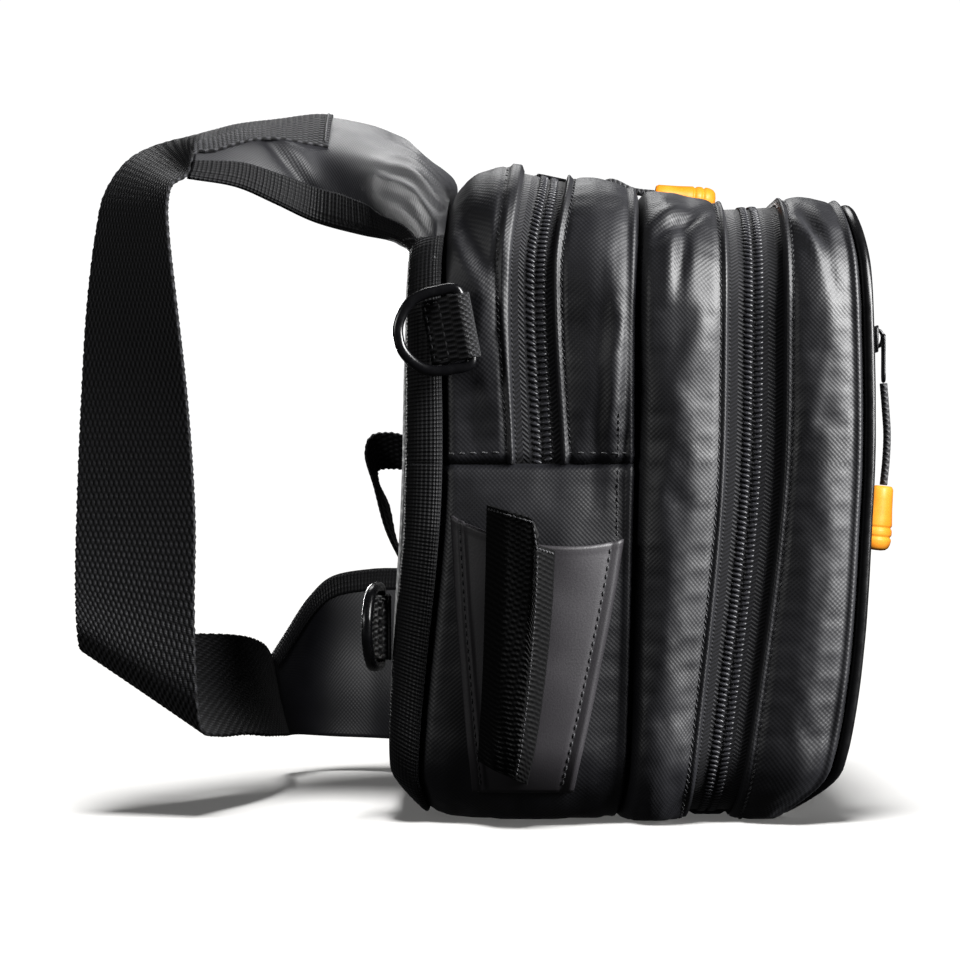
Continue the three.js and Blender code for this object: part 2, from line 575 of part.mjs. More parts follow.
// A flat row across a band, from one edge to the other.
const BAND_FACETS = 3;
const flatRow = (a, b) => steps(BAND_FACETS).map((t) => a.clone().lerp(b, t));

// Sections of a band through its rows, with its thickness along each row's own normal.
function ribbonRows(rows, thickness) {
  return rows.map((row, i) => {
    const along = rows[Math.min(i + 1, rows.length - 1)][0].clone().sub(rows[Math.max(i - 1, 0)][0]);
    const normal = along.cross(row.at(-1).clone().sub(row[0])).setLength(thickness / 2);
    const face = (side) => row.map((point) => point.clone().addScaledVector(normal, side));
    return section(face(-1), face(1));
  });
}

// More rows along a band, on smooth curves through the rows given.
function smoothRows(rows, count) {
  const lines = rows[0].map((_, k) => (
    new THREE.CatmullRomCurve3(rows.map((row) => row[k]), false, 'centripetal').getPoints(count)));
  return lines[0].map((_, i) => lines.map((line) => line[i]));
}

// Shoulder pad, from its root on the back panel's top to its tip. Each row gives the far hem, the far
// and near edges of the webbing's seat and the near hem; skew moves the near hem along x.
const PAD_ROWS = [
  { x: -82.8, skew: 0, hemFar: [50, 222], far: [40, 224], near: [-34, 224], hemNear: [-78, 212] },
  { x: -79, skew: -3.4, hemFar: [50, 247], far: [42, 251], near: [-34, 247], hemNear: [-71, 223] },
  { x: -75, skew: -9, hemFar: [52, 258], far: [42, 268], near: [-32, 257], hemNear: [-65, 227.5] },
  { x: -82, skew: -5, hemFar: [50, 264], far: [38, 277], near: [-30, 262], hemNear: [-60, 230.5] },
  { x: -98, skew: 0, hemFar: [42, 270], far: [29, 284], near: [-26, 264], hemNear: [-52, 233.5] },
  { x: -117, skew: 0, hemFar: [35, 274], far: [22, 288], near: [-24, 268.5], hemNear: [-44, 239.5] },
  { x: -132, skew: 0, hemFar: [25, 275], far: [13, 287], near: [-34, 271.5], hemNear: [-51, 246] },
  { x: -147, skew: 0, hemFar: [13, 272], far: [4, 281.5], near: [-45, 274], hemNear: [-58, 252] },
  { x: -160, skew: 0, hemFar: [-3, 269], far: [-8, 275.5], near: [-56, 266.5], hemNear: [-66, 255.5] },
];
const PAD_SKEW = { hemFar: 0, far: 0, near: 1 / 3, hemNear: 1 }; // share of a row's skew on each line
const PAD_STEPS = 18;
const padLines = Object.entries(PAD_SKEW).map(([key, share]) => {
  const points = PAD_ROWS.map((row) => at(row.x + share * row.skew, ...row[key]));
  return new THREE.CatmullRomCurve3(points, false, 'centripetal').getPoints(PAD_STEPS);
});
const padSections = steps(PAD_STEPS).map((_, step) => (
  new THREE.CatmullRomCurve3(padLines.map((points) => points[step]), false, 'centripetal')));

// A point of the pad, step along it and t across it, lifted off its middle surface.
function padSpot(step, t, lift) {
  const spot = padSections[step].getPoint(t);
  const next = padSections[Math.min(step + 1, PAD_STEPS)].getPoint(t);
  const last = padSections[Math.max(step - 1, 0)].getPoint(t);
  const up = next.sub(last).cross(padSections[step].getTangent(t)).normalize();
  return spot.addScaledVector(up, lift);
}
const PAD_ACROSS = steps(9); // hems at both ends, the webbing's seat over the middle third
const padRows = steps(PAD_STEPS).map((_, step) => section(
  PAD_ACROSS.map((t) => padSpot(step, t, PAD / 2)), PAD_ACROSS.map((t) => padSpot(step, t, -PAD / 2))));
addPiece('shoulder_pad', bodyThrough(padRows), 'cloth');

// Tape folded round each long edge of the pad, over its face, its hem and its back. hem and arm are where
// its fold and its free edges lie across the pad, side is 1 at the near hem and -1 at the far one.
const TAPE_GAP = 2.6 * GAP;
const TAPE_START = 7; // the tapes start past the pad's root
function addPadTape(name, hem, arm, side) {
  const rows = padSections.slice(TAPE_START).map((line, i) => {
    const step = i + TAPE_START;
    const past = line.getTangent(hem).multiplyScalar(side);
    const face = (wall) => {
      const lift = side * (PAD / 2 + TAPE_GAP + wall);
      const edge = (up) => padSpot(step, hem, up).addScaledVector(past, TAPE_GAP + wall);
      return [padSpot(step, arm, lift), edge(lift), edge(-lift), padSpot(step, arm, -lift)];
    };
    return section(face(0), face(PAD_TAPE));
  });
  addPiece(name, bodyThrough(rows), 'tape');
}
addPadTape('pad_binding_far', PAD_ACROSS[0], PAD_ACROSS[1], -1);
addPadTape('pad_binding_near', PAD_ACROSS[9], PAD_ACROSS[8], 1);

// Strap webbing, from its sewn end on the pad, over the pad's tip, down and through a diagonal turn to
// the cloth wing. a is the far and then outer edge, b the near and then inner edge.
const WING_TIP = { a: at(-142, 50, 54), b: at(-138, 74, 17.5) };
const SEWN = { first: 10, last: 18 }; // the pad's sections that the webbing is sewn to
const SEAT = PAD_ACROSS.slice(3, 7);
const webbingOnPad = padSections.slice(SEWN.first, SEWN.last + 1).map((_, i) => (
  SEAT.map((t) => padSpot(SEWN.first + i, t, PAD / 2 + WEBBING / 2 + TAPE_GAP))));
const STRAP = [
  { a: at(-184, -28, 270), b: at(-165, -73, 258) },
  { a: at(-194, -40, 262), b: at(-171, -80, 250) },
  { a: at(-201.5, -49, 248), b: at(-172, -86, 240.5) },
  { a: at(-204, -55, 232), b: at(-171, -91, 228) },
  { a: at(-207, -58, 204), b: at(-168, -92, 202) },
  { a: at(-208.6, -64, 164), b: at(-163.8, -90, 163) },
  { a: at(-209.6, -70, 117), b: at(-161, -88, 117) },
  { a: at(-209.4, -75, 90), b: at(-161.5, -86, 82) },
  { a: at(-208.4, -77, 74), b: at(-160.5, -84, 46) },
  { a: at(-207.5, -70, 65.5), b: at(-159.5, -75, 34) },
  { a: at(-203, -61, 68), b: at(-154, -60, 30.5) },
  { a: at(-186, -53, 70), b: at(-145, -38, 29) },
  { a: at(-168, -40, 70), b: at(-138, -14, 26) },
  { a: at(-152, -16, 68), b: at(-134, 14, 23.5) },
  { a: at(-144, 14, 63), b: at(-134.5, 45, 20.5) },
];
const endGap = at(0, -3 * GAP, 0);
const strapRows = [
  webbingOnPad.at(-1), ...STRAP.map(({ a, b }) => flatRow(a, b)),
  flatRow(WING_TIP.a.clone().add(endGap), WING_TIP.b.clone().add(endGap)),
];
const webbingRows = [...webbingOnPad.slice(0, -1), ...smoothRows(strapRows, 44)];
addPiece('strap_webbing', bodyThrough(ribbonRows(webbingRows, WEBBING)), 'webbing');

// Cloth wing on the far lower back, which the webbing is sewn to. a is its upper edge, b its lower.
const WING_ROOT_X = -86.2; // just behind the back binding
const WING_ROWS = [
  { a: at(WING_ROOT_X, 86, 91), b: at(WING_ROOT_X, 80, 15) },
  { a: at(-100, 90, 90.5), b: at(-100, 88, 15) },
  { a: at(-118, 87, 87), b: at(-116, 89, 15.5) },
  { a: at(-127.5, 80, 78), b: at(-127, 86, 16.5) },
  { a: at(-136, 65, 64), b: at(-134, 80, 17.5) },
  WING_TIP,
];
const wingRows = smoothRows(WING_ROWS.map(({ a, b }) => flatRow(a, b)), 12);
addPiece('strap_wing', bodyThrough(ribbonRows(wingRows, WING)), 'cloth');

// Keeper loop of narrow webbing on the far back edge.
const KEEPER = [
  { a: at(-81.2, 76, 152), b: at(-81.2, 84, 137) },
  { a: at(-91, 76, 154), b: at(-90, 85, 138) },
  { a: at(-99, 75, 152.5), b: at(-96.5, 86, 137) },
  { a: at(-101.5, 74, 145), b: at(-96.5, 87, 131) },
  { a: at(-97.5, 73, 130), b: at(-92, 88, 121) },
  { a: at(-92, 73, 110), b: at(-88.5, 88, 105) },
  { a: at(-84.3, 74, 94), b: at(-83.4, 88, 94) },
];
const keeperRows = smoothRows(KEEPER.map(({ a, b }) => flatRow(a, b)), 18);
addPiece('keeper_loop', bodyThrough(ribbonRows(keeperRows, WEBBING)), 'webbing');

export default bag;
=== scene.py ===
import functools
import math
import bmesh
import bpy
from mathutils import Matrix, Vector, noise


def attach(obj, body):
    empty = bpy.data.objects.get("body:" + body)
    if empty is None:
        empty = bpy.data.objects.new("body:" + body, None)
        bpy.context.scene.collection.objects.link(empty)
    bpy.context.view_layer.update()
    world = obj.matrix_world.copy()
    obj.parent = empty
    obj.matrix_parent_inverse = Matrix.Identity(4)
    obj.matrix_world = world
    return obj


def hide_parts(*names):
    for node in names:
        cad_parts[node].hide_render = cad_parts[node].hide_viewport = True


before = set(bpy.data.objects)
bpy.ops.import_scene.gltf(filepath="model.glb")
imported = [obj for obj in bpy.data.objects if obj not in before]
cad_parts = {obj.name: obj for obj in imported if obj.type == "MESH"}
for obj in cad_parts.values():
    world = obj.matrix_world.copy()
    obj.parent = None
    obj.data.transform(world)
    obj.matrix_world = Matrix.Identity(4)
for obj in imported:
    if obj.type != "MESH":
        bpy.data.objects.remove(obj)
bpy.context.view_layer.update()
scene = bpy.context.scene
mm = 0.001  # the tables below are in millimetres
print("frame loaded,", len(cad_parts), "nodes")

# Camera: level, square to the near side
camera = {"place": (-50, -1100, 132.7), "lens": 97.5, "sensor": 36}
eye = bpy.data.objects.new("camera", bpy.data.cameras.new("camera"))
eye.data.lens = camera["lens"]
eye.data.sensor_width = camera["sensor"]
eye.location = Vector(camera["place"]) * mm
eye.rotation_euler = (math.pi / 2, 0, 0)
scene.collection.objects.link(eye)
scene.camera = eye


# Small tools for materials
def linear(hexColour):
    # sRGB hex to the linear colour of a socket
    parts = [int(hexColour[i:i + 2], 16) / 255 for i in (1, 3, 5)]
    return [c / 12.92 if c <= 0.04045 else ((c + 0.055) / 1.055) ** 2.4 for c in parts] + [1]


def feed(tree, node, inputs):
    for socket, value in inputs.items():
        if isinstance(value, bpy.types.Node):
            value = value.outputs[0]
        if isinstance(value, bpy.types.NodeSocket):
            tree.links.new(value, node.inputs[socket])
        else:
            node.inputs[socket].default_value = value


def addNode(tree, kind, inputs, **settings):
    node = tree.nodes.new("ShaderNode" + kind)
    for name, value in settings.items():
        setattr(node, name, value)
    feed(tree, node, inputs)
    return node


def newMaterial(name, colour, sockets):
    # gives the piece's UV map in mm and its Object coordinates too
    material = bpy.data.materials.new(name)
    material.use_nodes = True
    tree = material.node_tree
    feed(tree, tree.nodes["Principled BSDF"], {"Base Color": linear(colour), **sockets})
    coords = addNode(tree, "TexCoord", {})
    return material, tree, coords.outputs["UV"], coords.outputs["Object"]


def dress(material, gloss, height=None, relief=None, paintedShadeAndTone=None):
    # gloss: a value, its range and the roughness at both ends; height: what the bump follows, with relief,
    # its strength and its depth in mm; paintedShadeAndTone: a value, its range and the colour at both ends,
    # which is painted light and shade following the bump in the woven finishes and a random tone in the
    # others
    tree = material.node_tree
    sockets = ("Value", "From Min", "From Max", "To Min", "To Max")
    links = {"Roughness": addNode(tree, "MapRange", dict(zip(sockets, gloss)))}
    if height:
        links["Normal"] = addNode(tree, "Bump", {
            "Height": height, "Strength": relief[0], "Distance": relief[1] * mm})
    if paintedShadeAndTone:
        share = addNode(tree, "MapRange", dict(zip(sockets, paintedShadeAndTone[:3])))
        colour = addNode(tree, "Mix", {0: share, 6: linear(paintedShadeAndTone[3]), 7: linear(paintedShadeAndTone[4])}, data_type="RGBA")
        links["Base Color"] = colour.outputs[2]
    feed(tree, tree.nodes["Principled BSDF"], links)
    return material


def threads(tree, coords, perUnit):
    # a sine wave from -1 to 1; perUnit is how many threads pass in one unit of each coordinate
    turns = [2 * math.pi * count for count in perUnit] + [0]
    turn = addNode(tree, "VectorMath", {0: coords, 1: turns}, operation="DOT_PRODUCT")
    return addNode(tree, "Math", {0: turn.outputs["Value"]}, operation="SINE")


def twillPolyester():
    # Twill polyester, piece dyed: fine diagonal ribs, and a soft grey sheen at a slant, which is partly the
    # shader's sheen and partly painted, as the colour is lighter on the raised threads
    material, tree, uv, spot = newMaterial("twill_polyester", "#1c1c20", {
        "Sheen Weight": 0.03, "Sheen Roughness": 0.45, "Sheen Tint": linear("#b9bcc6"),
        "Specular IOR Level": 0.45})
    warp = threads(tree, uv, (0.55, 0))  # threads 0.9 mm apart, coarse enough to show
    weft = threads(tree, uv, (0, 0.55))
    rib = threads(tree, uv, (0.55, 0.55))  # the twill's slant
    knot = addNode(tree, "Math", {0: warp, 1: weft}, operation="MULTIPLY")
    weave = addNode(tree, "Math", {0: rib, 1: 0.2, 2: knot}, operation="MULTIPLY_ADD")
    cloud = addNode(tree, "TexNoise", {"Vector": spot, "Scale": 38, "Detail": 3})
    # painted light and shade: the colour follows the weave's height, lighter on the raised threads and darker
    # between them; the cloud adds a random tone
    paintedShadeAndTone = addNode(tree, "Math", {0: weave, 1: 0.22, 2: cloud}, operation="MULTIPLY_ADD")
    return dress(material, (cloud, 0.3, 0.7, 0.44, 0.56), weave, (0.3, 0.12),
                 (paintedShadeAndTone, 0.1, 0.9, "#050507", "#131318"))


def spacerMesh():
    # Warp-knitted spacer mesh: open cells about 3 mm across, each painted dark inside as painted shade in its
    # hollow, the knit between them lighter
    material, tree, uv, spot = newMaterial("spacer_mesh", "#141416", {
        "Sheen Weight": 0.25, "Sheen Roughness": 0.5, "Specular IOR Level": 0.25})
    cells = addNode(tree, "TexVoronoi", {"Vector": uv, "Scale": 1 / 3.2, "Randomness": 0.15})
    rim = addNode(tree, "MapRange", {"Value": cells, "From Min": 0.2, "From Max": 0.6})
    # painted shade: the colour is dark in the cells' hollows and lighter on the raised knit
    return dress(material, (cells, 0, 0.7, 0.9, 0.65), rim, (0.8, 0.5), (rim, 0, 1, "#060607", "#232327"))


def ribbedTape():
    # Grosgrain edge tape, woven nylon: a fine grid of ribs with a faint gloss on their crests
    material, tree, uv, spot = newMaterial("grosgrain_tape", "#101012", {
        "Sheen Weight": 0.05, "Sheen Roughness": 0.4, "Sheen Tint": linear("#c4c6cc"),
        "Specular IOR Level": 0.2})
    rib = threads(tree, uv, (1 / 1.5, 0))  # ribs across the tape, 1.5 mm apart
    line = threads(tree, uv, (0, 1 / 1.4))  # threads along it
    grid = addNode(tree, "Math", {0: line, 1: 0.7, 2: rib}, operation="MULTIPLY_ADD")
    # painted light and shade: the colour is lighter on the ribs' crests and darker between them
    return dress(material, (grid, -1.7, 1.7, 0.75, 0.5), grid, (0.7, 0.22),
                 (grid, -1.2, 1.7, "#030304", "#101012"))


def wovenWebbing():
    # Polypropylene webbing, heavy plain weave: rows of small slanting knots with a waxy gloss
    material, tree, uv, spot = newMaterial("polypropylene_webbing", "#111113", {
        "Sheen Weight": 0.03, "Sheen Roughness": 0.45, "Specular IOR Level": 0.25})
    row = threads(tree, uv, (1 / 5.2, 0))  # rows 2.6 mm apart
    column = threads(tree, uv, (0, 1 / 2.2))  # knots 2.2 mm apart, every other row shifted
    strand = threads(tree, uv, (1.9, 0.7))  # single strands in a knot
    knot = addNode(tree, "Math", {0: row, 1: column}, operation="MULTIPLY")
    weave = addNode(tree, "Math", {0: strand, 1: 0.15, 2: knot}, operation="MULTIPLY_ADD")
    # painted highlights and shade: the knots are coloured much lighter than the near-black between them
    return dress(material, (weave, -1, 1, 0.8, 0.45), weave, (0.8, 0.4),
                 (weave, -0.2, 0.9, "#010102", "#2a2a2d"))


def sleeveWebbing():
    # The tool sleeve's webbing: ribs across it, each broken into short dashes
    material, tree, uv, spot = newMaterial("ribbed_webbing", "#141416", {
        "Sheen Weight": 0.01, "Sheen Roughness": 0.45, "Specular IOR Level": 0.08})
    rib = threads(tree, uv, (1 / 2.0, 0.06))  # ribs 2 mm apart
    dash = threads(tree, uv, (0.3, 1 / 3.4))
    weave = addNode(tree, "Math", {0: dash, 1: 0.35, 2: rib}, operation="MULTIPLY_ADD")
    # painted light and shade: the colour is lighter on the ribs' crests and darker between them
    return dress(material, (weave, -1, 1, 0.75, 0.48), weave, (0.6, 0.18),
                 (weave, -1, 1.2, "#010101", "#0a0a0b"))


def coatedCloth():
    # Polyurethane-coated cloth: smooth grey, with a fine pebble and a satin gloss
    material, tree, uv, spot = newMaterial("coated_polyester", "#464448", {
        "Specular IOR Level": 0.4, "Coat Weight": 0.08, "Coat Roughness": 0.4})
    pebble = addNode(tree, "TexNoise", {"Vector": uv, "Scale": 1.3, "Detail": 2})
    cloud = addNode(tree, "TexNoise", {"Vector": spot, "Scale": 45, "Detail": 3})
    return dress(material, (pebble, 0.3, 0.7, 0.42, 0.56), pebble, (0.4, 0.12),
                 (cloud, 0.3, 0.7, "#242225", "#2e2c2f"))


def zipTape():
    # Woven polyester zip tape: narrow herringbone columns
    material, tree, uv, spot = newMaterial("herringbone_tape", "#131315", {
        "Sheen Weight": 0.15, "Sheen Roughness": 0.5, "Specular IOR Level": 0.3})
    axes = addNode(tree, "SeparateXYZ", {0: uv})
    column = addNode(tree, "Math", {0: axes.outputs[1], 1: 2.4}, operation="PINGPONG")  # 2.4 mm wide
    slant = addNode(tree, "CombineXYZ", {0: axes.outputs[0], 1: column})
    bone = threads(tree, slant, (1 / 1.6, 1 / 2.2))
    # painted light and shade: the colour is lighter on the herringbone's crests and darker between them
    return dress(material, (bone, -1, 1, 0.7, 0.5), bone, (0.6, 0.15), (bone, -1, 1, "#060607", "#26262a"))


def mouldedBlack(name, colour, roughness, grit, sockets):
    # shared by the smooth blacks: a faint unevenness of the skin, grit in mm across
    material, tree, uv, spot = newMaterial(name, colour, sockets)
    skin = addNode(tree, "TexNoise", {"Vector": spot, "Scale": 1 / (grit * mm), "Detail": 4})
    return dress(material, (skin, 0.3, 0.7, *roughness), skin, (0.25, 0.06))


def braidedCord():
    # Braided polyester cord: strands cross in a fine diamond net
    material, tree, uv, spot = newMaterial("braided_polyester", "#0f0f11", {
        "Sheen Weight": 0.2, "Sheen Roughness": 0.4, "Specular IOR Level": 0.35})
    left = threads(tree, uv, (1 / 2.2, 3))  # six strands, three each way
    right = threads(tree, uv, (1 / 2.2, -3))
    net = addNode(tree, "Math", {0: left, 1: right}, operation="MAXIMUM")
    # painted light and shade: the colour is lighter on the strands' crests and darker between them
    return dress(material, (net, -0.5, 1, 0.75, 0.5), net, (0.7, 0.2), (net, -0.5, 1, "#050506", "#222225"))


def orangeRubber():
    # Injection-moulded soft rubber: warm orange that lets a little light in, fine matt spark texture
    material, tree, uv, spot = newMaterial("moulded_rubber", "#f08a16", {
        "Subsurface Weight": 0.12, "Subsurface Radius": (0.004, 0.0016, 0.0006),
        "Specular IOR Level": 0.4})
    spark = addNode(tree, "TexNoise", {"Vector": spot, "Scale": 1 / (0.5 * mm)})
    cloud = addNode(tree, "TexNoise", {"Vector": spot, "Scale": 1 / (9 * mm)})
    return dress(material, (spark, 0.3, 0.7, 0.4, 0.55), spark, (0.3, 0.06),
                 (cloud, 0.3, 0.7, "#f6901c", "#fba634"))


def sewingThread():
    # Bonded polyester thread, two-ply twist: a touch lighter than the cloth it holds
    material, tree, uv, spot = newMaterial("bonded_thread", "#2c2c31", {
        "Sheen Weight": 0.3, "Sheen Roughness": 0.4, "Specular IOR Level": 0.45})
    fleck = addNode(tree, "TexNoise", {"Vector": spot, "Scale": 1 / (1.2 * mm)})
    return dress(material, (fleck, 0.3, 0.7, 0.5, 0.65), fleck, (0.4, 0.1),
                 (fleck, 0.3, 0.7, "#101012", "#26262a"))


finish = {
    "cloth": twillPolyester(), "mesh": spacerMesh(), "tape": ribbedTape(), "webbing": wovenWebbing(),
    "sleeve": sleeveWebbing(), "coated": coatedCloth(), "zipTape": zipTape(), "cord": braidedCord(),
    "rubber": orangeRubber(), "thread": sewingThread(),
    # Nylon coil, drawn and heat set: satin black
    "coil": mouldedBlack("nylon_coil", "#2e2e32", (0.3, 0.42), 1.5, {"Specular IOR Level": 0.5}),
    # Extruded vinyl piping: wet-looking black
    "piping": mouldedBlack("vinyl_piping", "#0a0a0b", (0.22, 0.34), 4, {"Specular IOR Level": 0.3}),
    # Acetal, injection moulded and polished in the tool
    "ring": mouldedBlack("acetal", "#08080a", (0.2, 0.32), 3, {"Specular IOR Level": 0.5}),
    # Zinc die casting under black lacquer
    "slider": mouldedBlack("lacquered_zinc", "#161618", (0.28, 0.42), 1.2, {
        "Metallic": 0.6, "Coat Weight": 0.3, "Coat Roughness": 0.2}),
}
print("materials:", len(finish))


# Small tools for meshes
def mix(a, b, t):
    return a + (b - a) * t


def bell(distance, width):
    return math.exp(-(distance / width) ** 2)


def smooth(value, low, high):
    t = min(max((value - low) / (high - low), 0), 1)
    return t * t * (3 - 2 * t)


def curveThrough(pairs, place):
    # a smooth curve through (place, value) pairs, read at one place
    last = len(pairs) - 1

    def slope(i):
        a, b = pairs[max(i - 1, 0)], pairs[min(i + 1, last)]
        return (b[1] - a[1]) / (b[0] - a[0])
    i = 0
    while i < last - 1 and place > pairs[i + 1][0]:
        i += 1
    (p0, v0), (p1, v1) = pairs[i], pairs[i + 1]
    span = p1 - p0
    t = min(max((place - p0) / span, 0), 1)
    t2, t3 = t * t, t * t * t
    return ((2 * t3 - 3 * t2 + 1) * v0 + (t3 - 2 * t2 + t) * span * slope(i)
            + (3 * t2 - 2 * t3) * v1 + (t3 - t2) * span * slope(i + 1))


def lineThrough(points, t):
    # a centripetal curve through points, read at t from 0 to 1
    spans = len(points) - 1
    place = min(max(t, 0), 1) * spans
    i = min(int(place), spans - 1)
    weight = place - i
    p1, p2 = points[i], points[i + 1]
    p0 = points[i - 1] if i > 0 else 2 * p1 - p2
    p3 = points[i + 2] if i + 2 <= spans else 2 * p2 - p1
    d1 = max((p2 - p1).length ** 0.5, 1e-4)
    d0 = max((p1 - p0).length ** 0.5, 1e-4)
    d2 = max((p3 - p2).length ** 0.5, 1e-4)
    m1 = ((p1 - p0) / d0 - (p2 - p0) / (d0 + d1) + (p2 - p1) / d1) * d1
    m2 = ((p2 - p1) / d1 - (p3 - p1) / (d1 + d2) + (p3 - p2) / d2) * d1
    w2, w3 = weight * weight, weight ** 3
    return ((2 * w3 - 3 * w2 + 1) * p1 + (w3 - 2 * w2 + weight) * m1
            + (3 * w2 - 2 * w3) * p2 + (w3 - w2) * m2)


def evenPlaces(lineAt, count, samples=400):
    # the values of t that cut a line into equal lengths, and its whole length
    spots = [lineAt(i / samples) for i in range(samples + 1)]
    run = [0]
    for a, b in zip(spots, spots[1:]):
        run.append(run[-1] + (b - a).length)
    places, j = [], 0
    for i in range(count + 1):
        want = run[-1] * i / count
        while j < samples - 1 and run[j + 1] < want:
            j += 1
        places.append((j + (want - run[j]) / max(run[j + 1] - run[j], 1e-9)) / samples)
    return places, run[-1]


def mapGrid(along, across, place, flat, looped=False, spread=None, sewn=None):
    # a grid of quads whose points go to place(s, t); its UV map is the flat piece in mm
    bm = bmesh.new()
    bmesh.ops.create_grid(bm, x_segments=along, y_segments=across, size=0.5)
    layer = bm.loops.layers.uv.new("threads")
    pins = bm.verts.layers.deform.verify()
    spot = {}
    for vert in bm.verts:
        s, t = round(vert.co.x + 0.5, 5), round(vert.co.y + 0.5, 5)
        spot[vert.index] = (s, spread(t) if spread else t)
    for face in bm.faces:
        for loop in face.loops:
            s, t = spot[loop.vert.index]
            loop[layer].uv = (s * flat[0], t * flat[1])
    for vert in bm.verts:
        s, t = spot[vert.index]
        vert.co = place(s, t)
        if sewn and sewn(s, t):
            vert[pins][0] = 1
    if looped:
        bmesh.ops.remove_doubles(bm, verts=bm.verts, dist=0.02)
    return bm


def edgeRich(t):
    # moves the points of a grid towards both edges, where the hems are
    return t - 0.62 * math.sin(2 * math.pi * t) / (2 * math.pi)


def faceOut(bm, inside):
    bm.normal_update()
    if sum(face.normal.dot(face.calc_center_median() - Vector(inside)) for face in bm.faces) < 0:
        bmesh.ops.reverse_faces(bm, faces=bm.faces)


def newPiece(name, bm, material, nodes=(), body="bag", inside=None, wall=None, offset=-1):
    if inside:
        faceOut(bm, inside)
    bmesh.ops.scale(bm, vec=(mm, mm, mm), verts=bm.verts)
    mesh = bpy.data.meshes.new(name)
    bm.to_mesh(mesh)
    bm.free()
    mesh.polygons.foreach_set("use_smooth", [True] * len(mesh.polygons))
    mesh.materials.append(finish[material])
    piece = bpy.data.objects.new(name, mesh)
    scene.collection.objects.link(piece)
    if wall:
        addWall(piece, wall, offset)
    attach(piece, body)
    if nodes:
        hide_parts(*nodes)
    return piece


def addWall(piece, wall, offset=-1):
    solid = piece.modifiers.new("wall", "SOLIDIFY")
    solid.thickness = wall * mm
    solid.offset = offset
    solid.use_even_offset = False


def closeEnds(bm):
    bmesh.ops.holes_fill(bm, edges=[edge for edge in bm.edges if edge.is_boundary], sides=0)
    bmesh.ops.recalc_face_normals(bm, faces=bm.faces)


def wayAlong(lineAt, s, step=0.004):
    return (lineAt(min(s + step, 1)) - lineAt(max(s - step, 0))).normalized()


slackPieces = []


def slacken(piece, slack, pressure, cap):
    # the cloth between sewn edges gets a little too large, so that it finds its own folds
    piece.vertex_groups.new(name="sewn")
    cloth = piece.modifiers.new("cloth", "CLOTH")
    settings = cloth.settings
    settings.quality = 6
    settings.mass = 0.2
    settings.tension_stiffness = 25
    settings.compression_stiffness = 25
    settings.shear_stiffness = 10
    settings.bending_stiffness = 0.6
    settings.vertex_group_mass = "sewn"
    settings.pin_stiffness = 1
    settings.shrink_min = -slack
    settings.use_pressure = pressure > 0
    settings.uniform_pressure_force = pressure
    settings.effector_weights.gravity = 0
    cloth.collision_settings.use_collision = False
    cloth.point_cache.frame_end = 30
    slackPieces.append((piece, cap))


def settleCloth(frames):
    for number in range(1, frames + 1):
        scene.frame_set(number)
    graph = bpy.context.evaluated_depsgraph_get()
    for piece, cap in slackPieces:
        moved = piece.evaluated_get(graph).data
        for vert, result in zip(piece.data.vertices, moved.vertices):
            step = result.co - vert.co
            if step.length > cap * mm:
                step *= cap * mm / step.length
            vert.co = vert.co + step
            vert.co.z = max(vert.co.z, 0)
        piece.modifiers.remove(piece.modifiers["cloth"])
    scene.frame_set(1)


def beadMesh(places, around, high):
    # one mesh of small beans; they are made in batches, because a large bmesh is slow to add to
    whole = bmesh.new()
    for start in range(0, len(places), 40):
        batch = bmesh.new()
        for matrix in places[start:start + 40]:
            bmesh.ops.create_uvsphere(batch, u_segments=around, v_segments=high, radius=1,
                                      matrix=matrix @ Matrix.Rotation(math.pi / 2, 4, "Y"))
        bmesh.ops.recalc_face_normals(batch, faces=batch.faces)
        shelf = bpy.data.meshes.new("batch")
        batch.to_mesh(shelf)
        batch.free()
        whole.from_mesh(shelf)
        bpy.data.meshes.remove(shelf)
    return whole


stitchPlaces = []


def addStitch(spot, along, out, length, radius):
    # one stitch: a small bean of thread that sinks into the cloth at both ends
    side = out.cross(along).normalized()
    out = along.cross(side).normalized()
    turn = Matrix((along.normalized() * length / 2, side * radius, out * radius)).transposed().to_4x4()
    stitchPlaces.append(Matrix.Translation(spot) @ turn)


def sewAlong(lineAt, pitch, length, radius=0.42, first=0.0, last=1.0, slant=0.0):
    # lineAt(t) gives a spot and the outward normal of the cloth there
    places, run = evenPlaces(lambda t: lineAt(mix(first, last, t))[0], 60, 60)
    count = max(int(run / pitch), 1)
    places, run = evenPlaces(lambda t: lineAt(mix(first, last, t))[0], count, 4 * count)
    for a, b in zip(places, places[1:]):
        here, out = lineAt(mix(first, last, (a + b) / 2))
        before, after = lineAt(mix(first, last, a))[0], lineAt(mix(first, last, b))[0]
        if (after - before).length > 0.1:
            ahead = (after - before).normalized()
            addStitch(here, (ahead + out.cross(ahead) * slant).normalized(), out, length, radius)


def tubeAlong(lineAt, along, around, radius, flat, ripple=None):
    # a round tube with closed ends; ripple(s, t) swells it by a share of its radius
    def place(s, t):
        ahead = wayAlong(lineAt, s)
        side = ahead.cross(Vector((0, 1, 0))).normalized()
        up = side.cross(ahead)
        reach = radius * (1 + (ripple(s, t) if ripple else 0))
        return lineAt(s) + (side * math.cos(2 * math.pi * t) + up * math.sin(2 * math.pi * t)) * reach
    bm = mapGrid(along, around, place, flat, looped=True)
    closeEnds(bm)
    return bm


